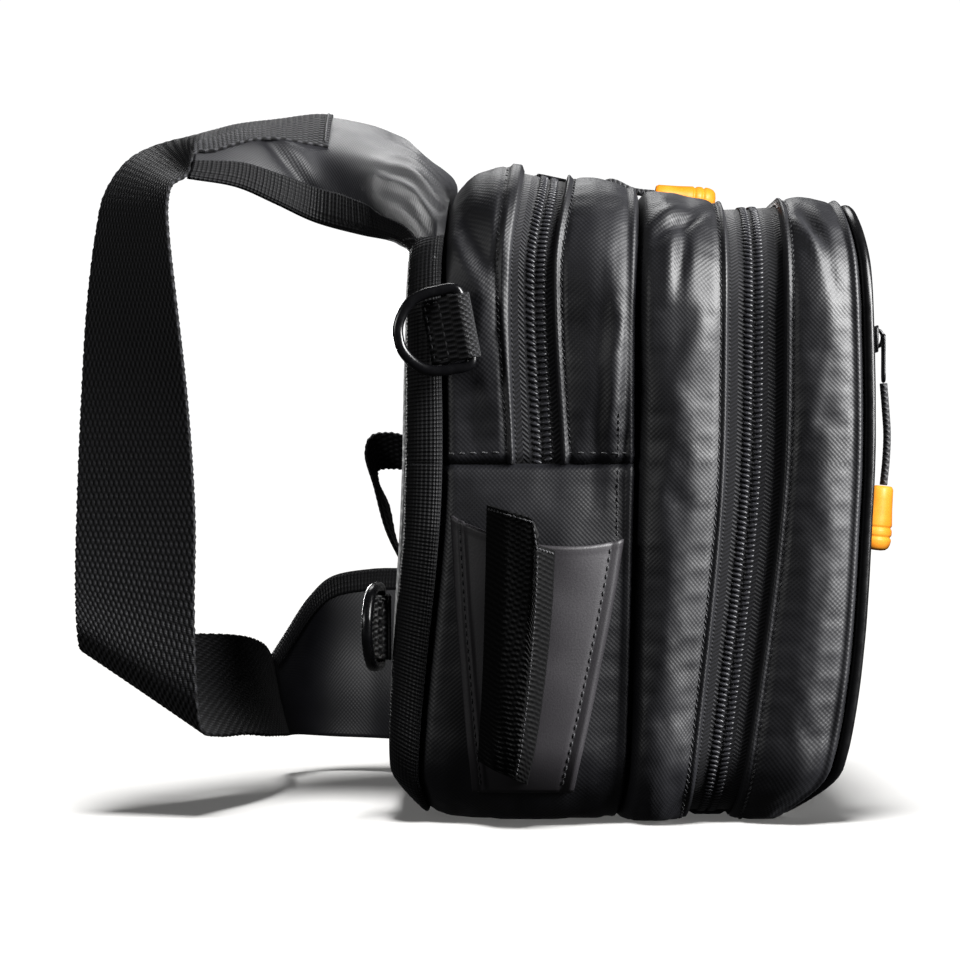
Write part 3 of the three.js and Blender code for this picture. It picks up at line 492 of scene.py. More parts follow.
# Pull cords: the routes of the CAD cords, from the pull tab's end to the grip
pull = {"radius": 1.5, "gripGap": 0.3, "braid": 0.05, "turns": 18, "strands": 3, "routes": {
    "front": [(108.43, -79, 170.7), (109.23, -79, 160.7), (109.83, -79, 150.7), (109.43, -79, 140.7),
              (108.43, -79, 130.7)],
    "rear": [(-7.143, -10, 256.462), (-0.143, -10, 255.862), (5, -10, 257.6), (14, -10, 253.9),
             (23, -10, 252.7)]}}
# the grip's radius along its length, from the cord's end, with two moulded grooves
gripProfile = [(0, 2.0), (0, 3.0), (0.3, 3.5), (1.2, 4.0), (5, 4.2), (9, 4.4), (13, 4.75), (15.2, 4.95),
               (15.7, 4.9), (16.1, 4.5), (16.6, 4.5), (17.0, 4.95), (17.6, 5.1), (18.8, 5.15), (19.4, 5.05),
               (19.8, 4.6), (20.3, 4.6), (20.7, 5.05), (21.4, 5.15), (22.8, 4.9), (24.2, 4.3), (25.1, 3.2),
               (25.4, 1.6), (25.4, 0)]


def addPullCord(name, route):
    points = [Vector(p) for p in route]

    def braid(s, t):
        turns, strands = 2 * math.pi * pull["turns"] * s, 2 * math.pi * pull["strands"] * t
        return pull["braid"] * math.sin(turns + strands) * math.sin(turns - strands)
    bm = tubeAlong(lambda t: lineThrough(points, t), 60, 20, pull["radius"], (40, 1), braid)
    cord = newPiece(name + "_cord_braid", bm, "cord", [name + "_pull_cord"])
    tip = points[-1]
    along = (tip - lineThrough(points, 0.97)).normalized()
    bm = bmesh.new()
    verts = [bm.verts.new((0, radius, place)) for place, radius in gripProfile]
    edges = [bm.edges.new(pair) for pair in zip(verts, verts[1:])]
    bmesh.ops.spin(bm, geom=verts + edges, cent=(0, 0, 0), axis=(0, 0, 1), angle=2 * math.pi, steps=40,
                   use_merge=True)
    bmesh.ops.remove_doubles(bm, verts=bm.verts, dist=0.01)
    closeEnds(bm)
    turn = Vector((0, 0, 1)).rotation_difference(along).to_matrix().to_4x4()
    bmesh.ops.transform(bm, matrix=Matrix.Translation(tip + along * pull["gripGap"]) @ turn, verts=bm.verts)
    grip = newPiece(name + "_grip_rubber", bm, "rubber", [name + "_pull_grip"])
    length = sum((lineThrough(points, i / 40) - lineThrough(points, (i + 1) / 40)).length for i in range(40))
    [tuple(lineThrough(points, i / 20) * mm) for i in range(21)]
    return length


for cordName, cordRoute in pull["routes"].items():
    print(cordName, "cord", round(addPullCord(cordName, cordRoute), 1), "mm")

# Seam rings of the body, as in the CAD: x at five levels, lowest and highest z, half width
baseRadius, topRadius, sideSeam = 30, 45, 139
midLevels = (20, 125, 215)  # heights of the three levels between the lowest and the highest
rings = {
    "backEdge": ((-76, -85, -79, -78, -74.5), 8, 243, 92),
    "backSeam": ((-70, -74, -65, -65, -62), 2, 246, 95),
    "rearZipBack": ((-36, -36, -36, -38, -32), 0, 258, 97),
    "rearZipFront": ((-18, -18, -18, -22, -15.5), 0, 254.5, 97),
    "middleSeam": ((4, 7, 9.5, 11, 13), 0, 248.5, 97),
    "mainZipBack": ((32, 34, 44.5, 46.5, 47), 0, 243.5, 97),
    "mainZipFront": ((48, 52, 65.5, 67.5, 68), 0, 244.5, 97),
    "piping": ((66, 86, 97.5, 97, 94), 0, 243.5, 95),
}
# mm round a ring: up the near side from the side seam, over the top, down the far side and under
stretches = (60, 70.7, 104, 70.7, 60, 108, 47.1, 134, 47.1, 108)
starts = [sum(stretches[:i]) for i in range(len(stretches) + 1)]
ringLength = starts[-1]
arcs = {"ring": (0, ringLength), "upper": (0, starts[5]), "lower": (starts[5], ringLength),
        "base": (starts[7], starts[8]), "overTop": (starts[8], ringLength + starts[7])}


@functools.lru_cache(maxsize=None)
def ringX(name, z):
    levels, lift, height, half = rings[name]
    return curveThrough(list(zip((lift, *midLevels, height), levels)), z)


@functools.lru_cache(maxsize=None)
def ringSpot(name, distance):
    # a spot of the ring and its outward normal
    levels, lift, height, half = rings[name]
    shoulder, heel = height - topRadius, lift + baseRadius
    flatTop, flatBase = half - topRadius, half - baseRadius
    bends = {1: (-flatTop, shoulder, topRadius, 2, 1), 3: (flatTop, shoulder, topRadius, 1, 0),
             6: (flatBase, heel, baseRadius, 0, -1), 8: (-flatBase, heel, baseRadius, -1, -2)}
    legs = {0: (-half, sideSeam, -half, shoulder, 2), 2: (-flatTop, height, flatTop, height, 1),
            4: (half, shoulder, half, sideSeam, 0), 5: (half, sideSeam, half, heel, 0),
            7: (flatBase, lift, -flatBase, lift, -1), 9: (-half, heel, -half, sideSeam, -2)}
    distance %= ringLength
    index = max(i for i in range(10) if starts[i] <= distance + 0.001)
    part = (distance - starts[index]) / stretches[index]
    if index in bends:
        y, z, radius, first, last = bends[index]
        angle = mix(first, last, part) * math.pi / 2
        y += radius * math.cos(angle)
        z += radius * math.sin(angle)
    else:
        y0, z0, y1, z1, quarter = legs[index]
        angle = quarter * math.pi / 2
        y, z = mix(y0, y1, part), mix(z0, z1, part)
    return Vector((ringX(name, round(z, 4)), y, z)), Vector((0, math.cos(angle), math.sin(angle)))


# Body cloth: bands between two rings. edges say how each side is finished, slack how loose it hangs.
bands = {
    "rear_gusset": {"rings": ("backSeam", "rearZipBack"), "arc": "upper", "swell": (2.5, 5),
                    "crest": [(0, 0.8), (160, 0.8), (215, 0.6), (250, 0.5)],
                    "edges": ("crease", "hem"), "slack": 0.006, "hemExtra": 3.5},
    "middle_gusset": {"rings": ("rearZipFront", "middleSeam"), "arc": "upper", "swell": (5, 1.5),
                      "crest": [(0, 0.55), (140, 0.55), (200, 0.68), (250, 0.6)],
                      "edges": ("hem", "welt"), "slack": 0.006},
    "lower_gusset": {"rings": ("backSeam", "middleSeam"), "arc": "lower", "swell": (5, 5),
                     "crest": [(0, 0.5), (250, 0.5)],
                     "edges": ("crease", "welt"), "slack": 0.004},
    "front_gusset": {"rings": ("middleSeam", "mainZipBack"), "arc": "ring", "swell": (7.5, 1),
                     "crest": [(0, 0.42), (75, 0.36), (145, 0.5), (200, 0.3), (250, 0.36)],
                     "edges": ("crease", "hem"), "slack": 0.006},
    "pocket_gusset": {"rings": ("mainZipFront", "piping"), "arc": "ring", "swell": (6, 2),
                      "crest": [(0, 0.5), (70, 0.5), (150, 0.45), (250, 0.42)],
                      "edges": ("hem", "welt"), "slack": 0.006},
    "base_strip": {"rings": ("mainZipBack", "mainZipFront"), "arc": "base", "swell": (1, 1),
                   "crest": [(0, 0.5), (250, 0.5)],
                   "edges": ("crease", "crease"), "slack": 0},
}
cloth = {"wall": 1.8, "swellStart": 34, "pressure": 1.0, "cap": 3.0, "step": 3.2, "across": 28,
         "sewnRim": 5.6, "puckers": 96, "pucker": 0.28, "settle": 24}
# Folds of the near side: x, z, direction in degrees, reach along and across it, height (minus: a dent)
folds = [
    (-51, 224, -60, 16, 6, -3.4), (-60, 222, -58, 16, 4, 2.0), (-46, 205, 80, 24, 7, 1.0),
    (2.5, 168, 86, 34, 3.6, 2.4), (-4, 168, 88, 38, 3.4, -1.5), (28, 218, 81, 13, 2.2, -3.2),
    (23, 214, 84, 16, 3.4, 1.2), (28, 231, 30, 11, 1.8, -2.8), (22, 234, 30, 9, 3, 1.6),
    (38, 190, 60, 26, 7, 1.8), (80, 230, -58, 8, 3, -3.6), (77, 226, -55, 12, 2.4, 1.8),
    (80, 219, -72, 14, 2.2, 1.4), (84, 214, -76, 14, 3, -1.8), (63, 9, 25, 12, 4, -2.6),
    (70, 18, 40, 14, 4, 1.4), (29, 10, 110, 10, 4, -2.0), (20, 60, 82, 40, 5, 0.8),
    (84, 110, 86, 50, 6, 0.9),
]


def foldAt(spot):
    near = 1 - smooth(spot.y, -60, 10)
    total = 0
    if near > 0:
        for foldX, foldZ, degrees, reach, width, high in folds:
            turn = math.radians(degrees)
            x, z = spot.x - foldX, spot.z - foldZ
            along = (x * math.cos(turn) + z * math.sin(turn)) / reach
            across = (z * math.cos(turn) - x * math.sin(turn)) / width
            if along * along + across * across < 9:  # further out it is nothing
                total += high * math.exp(-along * along - across * across)
    return total * near


def edgeShape(kind, distance, wider=0.0):
    # height of the cloth beside a seam: a turned hem with its topstitch, a crease, or a welt
    if kind == "hem":
        distance -= min(max(distance - 1.3, 0), wider)
        return (1.2 * bell(distance - 1.3, 1.1) - 0.9 * bell(distance - 3.6, 0.9)
                - 1.6 * bell(distance, 0.6))
    if kind == "welt":
        return 1.4 * bell(distance - 1.7, 1.3) - 0.5 * bell(distance - 4.4, 0.9) - 1.8 * bell(distance, 0.7)
    return -3.4 * bell(distance, 2.4)


def hemExtra(band, z):
    # mm by which the hem beside the zip is wider towards the top
    return band.get("hemExtra", 0) * smooth(z, 150, 240)


def clothOut(band, distance, t, spot, normal, width):
    first, last = arcs[band["arc"]]
    side, top = band["swell"]
    meetsSeam = band["arc"] in ("upper", "lower")
    end = min(distance - first, last - distance)
    rise = math.sin(min(end / cloth["swellStart"], 1) * math.pi / 2) if meetsSeam else 1
    leaned = t ** (math.log(0.5) / math.log(curveThrough(band["crest"], spot.z)))
    hump = 4 * leaned * (1 - leaned)
    out = mix(side, top, max(normal.z, 0)) * hump * rise
    wider = hemExtra(band, spot.z)
    seams = edgeShape(band["edges"][0], t * width) + edgeShape(band["edges"][1], (1 - t) * width, wider)
    out += seams * (1 + 0.6 * min(normal.z, 0))
    if meetsSeam:
        out += 0.8 * bell(end - 2, 1.8) - 0.9 * bell(end, 0.7)
    out += foldAt(spot) * min(hump * 1.6, 1)
    loose = noise.noise(Vector((spot.x / 9, spot.y / 40, spot.z / 40)))
    loose += 0.3 * noise.noise(Vector((spot.x / 6 + 9, spot.y / 20, spot.z / 20)))
    pucker = math.sin(2 * math.pi * cloth["puckers"] * distance / ringLength + 4 * noise.noise(spot / 30))
    edge = min(t, 1 - t) * width
    return out + loose * hump + cloth["pucker"] * pucker * bell(edge - 7, 4)


def bandSpot(name, distance, t, lift=0.0):
    band = bands[name]
    (a, normal), (b, _) = (ringSpot(ring, round(distance, 4)) for ring in band["rings"])
    spot = a.lerp(b, t)
    spot += normal * (clothOut(band, distance, t, spot, normal, (b - a).length) + lift)
    spot.z = max(spot.z, 0)
    return spot


def bandWidth(name, distance):
    first, last = bands[name]["rings"]
    return (ringSpot(last, round(distance, 4))[0] - ringSpot(first, round(distance, 4))[0]).length


bagMiddle = (0, 0, 125)
for bandName, band in bands.items():
    first, last = arcs[band["arc"]]
    run = last - first
    looped = band["arc"] == "ring"
    wide = bandWidth(bandName, first + 30)

    def sewnDown(s, t, wide=wide, run=run, looped=looped):
        edge = min(t, 1 - t) * wide
        end = 99 if looped else min(s, 1 - s) * run
        return min(edge, end) < cloth["sewnRim"]
    bm = mapGrid(round(run / cloth["step"]), cloth["across"],
                 lambda s, t: bandSpot(bandName, first + s * run, t), (run, wide), looped, edgeRich, sewnDown)
    piece = newPiece(bandName + "_cloth", bm, "cloth", [bandName], inside=bagMiddle)
    band["piece"] = piece
    if band["slack"]:
        slacken(piece, band["slack"], cloth["pressure"], cloth["cap"])
print("body cloth:", len(bands), "bands")

# Front panel and back panel: each closes a ring
panels = {
    "front": {"ring": "piping", "inset": 5.4, "offset": 1.8, "crown": 7},
    "back": {"ring": "backEdge", "inset": 8.5, "offset": 0, "crown": -4},
}


def halfWidth(name, z, inset=0.0):
    levels, lift, height, half = rings[name]

    def corner(radius, rise):
        return math.sqrt(max(radius ** 2 - max(rise, 0) ** 2, 0)) - radius
    return (half - inset + corner(baseRadius - inset, lift + baseRadius - z)
            + corner(topRadius - inset, z - height + topRadius))


def panelSpot(panel, s, t):
    levels, lift, height, half = rings[panel["ring"]]
    bottom, top = lift + panel["inset"], height - panel["inset"]
    z = mix(bottom, top, (1 - math.cos(s * math.pi)) / 2)
    reach = halfWidth(panel["ring"], z, panel["inset"])
    y = (2 * t - 1) * reach
    upright = 1 - ((2 * z - bottom - top) / (top - bottom)) ** 2
    swell = panel["crown"] * upright * (1 - (y / half) ** 2)
    edge = min(reach - abs(y), z - bottom, top - z)
    return Vector((ringX(panel["ring"], round(z, 4)) + panel["offset"] + swell, y, z)), edge


def frontFace(s, t):
    spot, edge = panelSpot(panels["front"], s, t)
    spot.x += 0.6 * noise.noise(spot / 30) - 1.6 * bell(edge, 2.0)
    return spot


foamPatch = Vector((7.5, 0, 0))  # where the foam's unevenness is read from, beside the face


def backFace(s, t):
    # padded: the foam rounds off towards the tape that holds its rim
    spot, edge = panelSpot(panels["back"], s, t)
    spot.x += 3.4 * bell(edge, 4.5) + 0.5 * noise.noise((spot + foamPatch) / 32)
    return spot


bm = mapGrid(72, 60, frontFace, (230, 180), spread=edgeRich)
frontPanel = newPiece("front_panel_cloth", bm, "cloth", ["front_panel"], inside=bagMiddle, wall=1.6)
bm = mapGrid(72, 60, backFace, (215, 160), spread=edgeRich)
backPanel = newPiece("back_panel_mesh", bm, "mesh", ["back_panel"], inside=bagMiddle, wall=7)
print("panels done")

# Piping along the front ring
piping = {"radius": 2.4, "gap": 0.3}


def pipingSpot(s, t):
    spot, normal = ringSpot("piping", round(s * ringLength, 4))
    centre = spot - normal * piping["radius"] + Vector((piping["radius"] + piping["gap"], 0, 0))
    angle = 2 * math.pi * t
    reach = piping["radius"] * (1 + 0.03 * noise.noise(Vector((s * 60, 0, 0))))
    return centre + (Vector((math.sin(angle), 0, 0)) + normal * math.cos(angle)) * reach


bm = mapGrid(300, 14, pipingSpot, (ringLength, 15), looped=True)
bmesh.ops.recalc_face_normals(bm, faces=bm.faces)
newPiece("front_piping_vinyl", bm, "piping", ["front_piping"])

# Where the pad's cloth runs on over the binding's top, mm round the ring, and where on the pad that starts
flange = {"first": 76, "last": 234, "joins": 0.5, "near": 0.88, "far": 0.09, "rise": (13, 23),
          "streaks": 9, "streak": 0.9, "sink": 7}

# Edge binding of the back: a folded tape from the back seam, round the edge, over the panel's rim
bindingFace = [(0, 0.2), (0.14, 1.7), (0.35, 2.5), (0.6, 2.55), (0.8, 1.9), (0.94, 0.2), (1, -2.4),
               (1, -5), (1, -8), (1, -11)]


def bindingSpot(s, t):
    place = s * ringLength
    seam, normal = ringSpot("backSeam", round(place, 4))
    edge = ringSpot("backEdge", round(place, 4))[0]
    profile = lineThrough([Vector((a, b, 0)) for a, b in bindingFace], t)
    spot = seam.lerp(edge, profile.x)
    wave = 0.35 * noise.noise(Vector((s * 50, t * 2, 0))) + 0.12 * math.sin(place * 1.5)
    hidden = smooth(place, flange["first"] + 8, flange["first"] + 30) * smooth(
        flange["last"] - place, -6, 14)  # it lies lower where the pad's cloth covers it
    spot += normal * (profile.y + wave * min(1, 6 * t) - flange["sink"] * hidden)
    spot.x -= 0.3 * bell(t - 0.75, 0.2) * (1 + noise.noise(Vector((s * 40, 5, 0))))
    spot.z = max(spot.z, 0)
    return spot


bm = mapGrid(540, 22, bindingSpot, (ringLength, 27), looped=True)
newPiece("back_binding_tape", bm, "tape", ["back_binding"], inside=bagMiddle, wall=1.6)
print("binding and piping done")

# Coil zips: herringbone tape below the cloth, two rows of coil bars along it
zips = {
    "rear_zipper": {"rings": ("rearZipBack", "rearZipFront"), "arc": "upper", "centre": 0.6},
    "front_zipper": {"rings": ("mainZipBack", "mainZipFront"), "arc": "overTop", "centre": 0.46},
}
coil = {"pitch": 2.0, "bar": (1.75, 0.78, 0.62), "apart": 2.1, "rise": 0.7, "slant": 0.22, "recess": 2.1,
        "under": 0.1}  # under: how far the tape runs on below the cloth, as a share of the gap


def zipSpot(zipper, distance, t, lift=0.0):
    (a, normal), (b, _) = (ringSpot(ring, round(distance, 4)) for ring in zipper["rings"])
    spot = a + (b - a) * t
    spot += normal * (lift - coil["recess"] - 0.5 * bell((t - zipper["centre"]) * 18, 3))
    spot.z = max(spot.z, 0.4)
    return spot


def coilMesh(frames):
    # frames: spot, way along the zip, way across it, outward normal
    places = []
    for spot, along, across, out in frames:
        for side in (-1, 1):
            lean = (across * side + along * coil["slant"]).normalized()
            turn = Matrix((lean * coil["bar"][0], along * coil["bar"][1], out * coil["bar"][2]))
            place = spot + across * side * coil["apart"] + along * (coil["pitch"] / 4 * side)
            places.append(Matrix.Translation(place) @ turn.transposed().to_4x4())
    return beadMesh(places, 6, 5)


for zipName, zipper in zips.items():
    first, last = arcs[zipper["arc"]]
    run = last - first
    bm = mapGrid(round(run / 4), 14,
                 lambda s, t: zipSpot(zipper, first + s * run, mix(-coil["under"], 1 + coil["under"], t)),
                 (run, 21))
    newPiece(zipName + "_tape", bm, "zipTape", [zipName], inside=bagMiddle, wall=0.6)
    frames = []
    for i in range(int(run / coil["pitch"])):
        place, middle = first + (i + 0.5) * coil["pitch"], zipper["centre"]
        spot = zipSpot(zipper, place, middle, coil["rise"])
        along = (zipSpot(zipper, place + 0.5, middle) - zipSpot(zipper, place - 0.5, middle)).normalized()
        across = (zipSpot(zipper, place, middle + 0.05) - zipSpot(zipper, place, middle - 0.05)).normalized()
        out = across.cross(along).normalized()
        if out.dot(spot - Vector(bagMiddle)) < 0:
            out.negate()
        frames.append((spot, along, across, out))
    newPiece(zipName + "_coil", coilMesh(frames), "coil")

# The front pocket's zip, across the front panel
pocketZip = {"z": 188, "half": 8, "reach": 84, "seat": 1.3, "bars": 84, "rise": 0.5}


def frontX(y, z):
    levels, lift, height, half = rings["piping"]
    inset, crown = panels["front"]["inset"], panels["front"]["crown"]
    upright = 1 - ((2 * z - lift - height) / (height - lift - 2 * inset)) ** 2
    return ringX("piping", round(z, 4)) + panels["front"]["offset"] + crown * upright * (1 - (y / half) ** 2)


def pocketZipSpot(s, t, lift=0.0):
    y = mix(-pocketZip["reach"], pocketZip["reach"], s)
    z = pocketZip["z"] + pocketZip["half"] * (2 * t - 1)
    return Vector((frontX(y, z) + pocketZip["seat"] + lift, y, z))


bm = mapGrid(60, 10, pocketZipSpot, (2 * pocketZip["reach"], 2 * pocketZip["half"]))
newPiece("front_pocket_zip_tape", bm, "zipTape", ["front_pocket_zipper"], inside=bagMiddle,
         wall=0.7)
bars = pocketZip["bars"]
bm = coilMesh([(pocketZipSpot((i + 0.5) / bars, 0.5, pocketZip["rise"]), Vector((0, 1, 0)),
                Vector((0, 0, 1)), Vector((1, 0, 0))) for i in range(bars)])
newPiece("front_pocket_zip_coil", bm, "coil")
print("zips done")

# Zip sliders with their pull tabs: place on the coil, the way the tab points and the way out
mainX = mix(ringX("mainZipBack", 70), ringX("mainZipFront", 70), 0.5)
sliders = {
    "front": ((103.93, -79, 188), (0, 0, -1), (1, 0, 0)),
    "rear": ((-25, -10, 255.65), (0.9782, 0, -0.2075), (0.2075, 0, 0.9782)),
    "main": ((mainX, 96.4, 70), (0, 0, -1), (0, 1, 0)),
}
sliderShape = {"length": 10.6, "width": 8.2, "floor": 0.6, "plate": 1.1, "bridgeWire": 0.75, "tabLift": 4.5,
               "tabWire": (0.72, 0.7)}
# the bridge from side to side as x and z, and half the tab's loop as x and y
bridgeLine = [(-3.6, 1.9), (-2.9, 3.4), (-0.6, 4.1), (2.2, 3.3), (3.2, 1.9)]
tabLoop = [(-1.6, 0), (-1.2, 1.5), (1, 1.75), (6, 1.55), (11, 1.7), (14.5, 1.75), (16.2, 1.2), (16.5, 0)]


def addSlider(name, place, pullWay, out):
    pullWay, out = Vector(pullWay), Vector(out)
    side = out.cross(pullWay)
    frameMatrix = Matrix.Translation(place) @ Matrix((pullWay, side, out)).transposed().to_4x4()
    long, wide, low, thick = (sliderShape[key] for key in ("length", "width", "floor", "plate"))
    bm = bmesh.new()
    # the top plate narrows to its tail, with a flange down each side
    plate = bmesh.ops.create_cube(bm, size=1)["verts"]
    bmesh.ops.scale(bm, vec=(long, wide, thick), verts=plate)
    bmesh.ops.translate(bm, vec=(0, 0, low + thick / 2 + 0.5), verts=plate)
    for vert in plate:
        vert.co.y *= 1 - 0.32 * smooth(vert.co.x, 0, long / 2)
    bmesh.ops.bevel(bm, geom=[e for e in bm.edges], offset=0.5, segments=3, affect="EDGES", profile=0.5,
                    material=-1)
    for way in (-1, 1):
        rail = bmesh.ops.create_cube(bm, size=1)["verts"]
        bmesh.ops.scale(bm, vec=(long * 0.72, 1, 1.2), verts=rail)
        bmesh.ops.translate(bm, vec=(-long * 0.1, way * (wide / 2 - 0.6), low + 0.6), verts=rail)
        edges = list({edge for vert in rail for edge in vert.link_edges})
        bmesh.ops.bevel(bm, geom=edges, offset=0.3, segments=2, affect="EDGES", profile=0.5, material=-1)
    # the bridge that the tab hangs from
    bridge = [Vector((x, 0, z)) for x, z in bridgeLine]
    arch = tubeAlong(lambda t: lineThrough(bridge, t), 16, 10, sliderShape["bridgeWire"], (10, 4))
    bridgeMesh = bpy.data.meshes.new("bridge")
    arch.to_mesh(bridgeMesh)
    arch.free()
    bm.from_mesh(bridgeMesh)
    bpy.data.meshes.remove(bridgeMesh)
    bmesh.ops.transform(bm, matrix=frameMatrix, verts=bm.verts)
    newPiece(name + "_slider_cast", bm, "slider", [name + "_slider"])
    # the tab: a long flat ring, wider at its eye
    ring = [Vector((x, y, 0)) for x, y in tabLoop] + [Vector((x, -y, 0)) for x, y in tabLoop[-2:0:-1]]
    ring.append(ring[0].copy())

    def tabPlace(s, t):
        away = wayAlong(lambda place: lineThrough(ring, place), s).cross(Vector((0, 0, 1)))
        (wide, high), angle = sliderShape["tabWire"], 2 * math.pi * t
        return (lineThrough(ring, s) + away * wide * math.cos(angle)
                + Vector((0, 0, high * math.sin(angle) + sliderShape["tabLift"])))
    bm = mapGrid(64, 10, tabPlace, (50, 5), looped=True)
    bmesh.ops.recalc_face_normals(bm, faces=bm.faces)
    bmesh.ops.transform(bm, matrix=frameMatrix, verts=bm.verts)
    newPiece(name + "_pull_tab_cast", bm, "slider", [name + "_pull_tab"])


for sliderName, (place, pullWay, out) in sliders.items():
    addSlider(sliderName, place, pullWay, out)
print("sliders done")

# Side pocket: a coated panel sewn down along its sides and foot. Rows: z, left, right, how far it stands off
pocketRows = [(12, -53, -14, 0.6), (17, -53.4, -13, 1.2), (23, -54, -11.8, 2), (31, -55, -10, 3),
              (42, -56, -7.5, 4), (66, -58, -2.5, 6), (90, -60, 2.2, 7.5), (110, -61.5, 5.4, 8.5)]
pocket = {"seat": 0.8, "rise": 9, "dip": 4, "wall": 1.5, "hem": 6, "foot": 12, "top": 110}


def lowerSideY(x, z):
    back, front = ringX("backSeam", round(z, 4)), ringX("middleSeam", round(z, 4))
    t = min(max((x - back) / (front - back), 0), 1)
    rise = min((sideSeam - z) / cloth["swellStart"], 1)
    swell = bands["lower_gusset"]["swell"][0] * 4 * t * (1 - t) * math.sin(rise * math.pi / 2)
    return -mix(halfWidth("backSeam", z), halfWidth("middleSeam", z), t) - swell


@functools.lru_cache(maxsize=None)
def pocketColumn(key, z):
    return curveThrough([(row[0], row[key]) for row in pocketRows], z)


def pocketFace(x, z, out):
    left, right = pocketColumn(1, round(z, 3)), pocketColumn(2, round(z, 3))
    s = min(max((x - left) / (right - left), 0), 1)
    swell = pocketColumn(3, round(z, 3)) * math.sin(s * math.pi) ** 0.7
    return Vector((x, lowerSideY(x, z) - pocket["seat"] - swell - out, z))


def pocketSpot(s, t, lift=0.0):
    # s up from the foot, t from the rear edge to the front edge
    z = mix(pocket["foot"], pocket["top"], s)
    left, right = pocketColumn(1, round(z, 3)), pocketColumn(2, round(z, 3))
    across = (right - left) * t
    topLift = (pocket["rise"] * (1 - t) ** 2 - pocket["dip"] * 4 * t * (1 - t)) * smooth(s, 0.6, 1)
    rim = 0.5 * bell((1 - s) * (pocket["top"] - pocket["foot"]) - 0.9, 0.9)  # the turned top edge
    front = right - left - across
    hems = 0.7 * smooth(pocket["hem"] - across, 0, 1.2) + 0.9 * bell(front - 1.6, 1.6)
    hems -= 0.5 * bell(front - 5, 0.9) + 0.5 * bell(across - 3.4, 0.8)
    loose = 0.7 * noise.noise(Vector((left + across, 3, z)) / 22) * math.sin(math.pi * t)
    spot = pocketFace(left + across, z, pocket["wall"] + rim + hems + loose + lift)
    spot.z += topLift
    return spot


bm = mapGrid(64, 60, pocketSpot, (98, 60), spread=edgeRich)
sidePocket = newPiece("side_pocket_coated", bm, "coated", ["side_pocket"],
                      inside=bagMiddle, wall=pocket["wall"])

# Tool sleeve: a ribbed webbing channel on the pocket. Rows: z, left, right, depth
sleeveRows = [(15, -51.5, -32, 3.5), (32, -50.5, -28.5, 7.5), (58, -49, -25, 9.5), (84, -48, -22.5, 10.5),
              (106, -47.5, -21.5, 10.5)]
sleeve = {"rise": 17, "wall": 1.8, "seat": 1.2, "rib": 2.0, "ribHigh": 0.3, "foot": (25, 15.5), "top": 106,
          "step": 0.69}  # step: where its top edge drops, from rear to front


def sleeveSpot(s, t):
    z = mix(mix(*sleeve["foot"], t), sleeve["top"], s)  # its foot is cut at a slant
    left, right, deep = (curveThrough([(row[0], row[k]) for row in sleeveRows], z) for k in (1, 2, 3))
    x = mix(left, right, t)
    arch = deep * min(1, 1.25 * math.sin(t * math.pi))
    rear = mix(sleeve["rise"], 12, t / sleeve["step"])
    front = mix(2.7, 0, (t - sleeve["step"]) / (1 - sleeve["step"]))
    upper = smooth(s, 0.25, 1)
    topLift = mix(rear, front, smooth(t, sleeve["step"] - 0.03, sleeve["step"] + 0.04)) * upper
    # mm up the webbing, whose ribs follow its top edge
    climb = 88 * s + sleeve["rise"] * upper * (1 - t) - 4 * t
    rib = sleeve["ribHigh"] * math.sin(2 * math.pi * climb / sleeve["rib"])
    wave = 0.8 * math.sin(7 * t + 2) * smooth(s, 0.5, 1) + 0.7 * noise.noise(Vector((t * 3, s * 4, 1)))
    spot = pocketFace(x, z, pocket["wall"] + sleeve["seat"] + arch + (rib + wave) * math.sin(math.pi * t))
    spot.z += topLift
    return spot


bm = mapGrid(200, 40, sleeveSpot, (95, 45))
newPiece("tool_sleeve_webbing", bm, "sleeve", ["tool_sleeve"], inside=bagMiddle,
         wall=sleeve["wall"])
print("side pocket done")

# D-rings in folded webbing tabs. Local frame: bar along z, bow to -x, -y away from the bag
dee = {"wire": 4.2, "bar": 26.5, "reach": 28, "square": 0.8}  # square: 1 is a round wire, less is squarer
tab = {"width": 25, "ply": 1.2, "reach": 15, "sink": 7.4, "eye": 2.7,
       "seam": [(-14, -11), (-14, 11), (-8.5, 11), (-8.5, -11)]}  # seam: corners of the sewn box, x and z
ringFrames = {
    "upper": Matrix.Translation((-55.6, -105.4, 191.6)) @ Matrix.Rotation(-0.19, 4, "Y"),
    "lower": (Matrix.Translation((-89.3, -70, 75)) @ Matrix.Rotation(1.4, 4, "Z")
              @ Matrix.Rotation(math.pi, 4, "X")),
}


def deeLine():
    # half the outline of the wire's middle, from the bar to the bow
    high, bow = (dee["bar"] + 4) / 2, dee["reach"] - 2
    half = [(0, 0), (0, high * 0.5), (0, high - 3), (-0.9, high - 0.9), (-3, high), (-bow * 0.3, high),
            (-bow * 0.5, high * 0.985), (-bow * 0.72, high * 0.86), (-bow * 0.9, high * 0.55),
            (-bow * 0.985, high * 0.25), (-bow, 0)]
    points = [Vector((x, 0, z)) for x, z in half]
    points += [Vector((x, 0, -z)) for x, z in half[-2:0:-1]]
    return points + [points[0].copy()]


deePoints = deeLine()


def deeSpot(s, t):
    away = wayAlong(lambda place: lineThrough(deePoints, place), s, 0.003).cross(Vector((0, 1, 0)))
    reach = dee["wire"] / 2
    aside, up = (math.copysign(abs(part) ** dee["square"], part)
                 for part in (math.cos(2 * math.pi * t), math.sin(2 * math.pi * t)))
    return lineThrough(deePoints, s) + away * reach * aside + Vector((0, reach * up, 0))


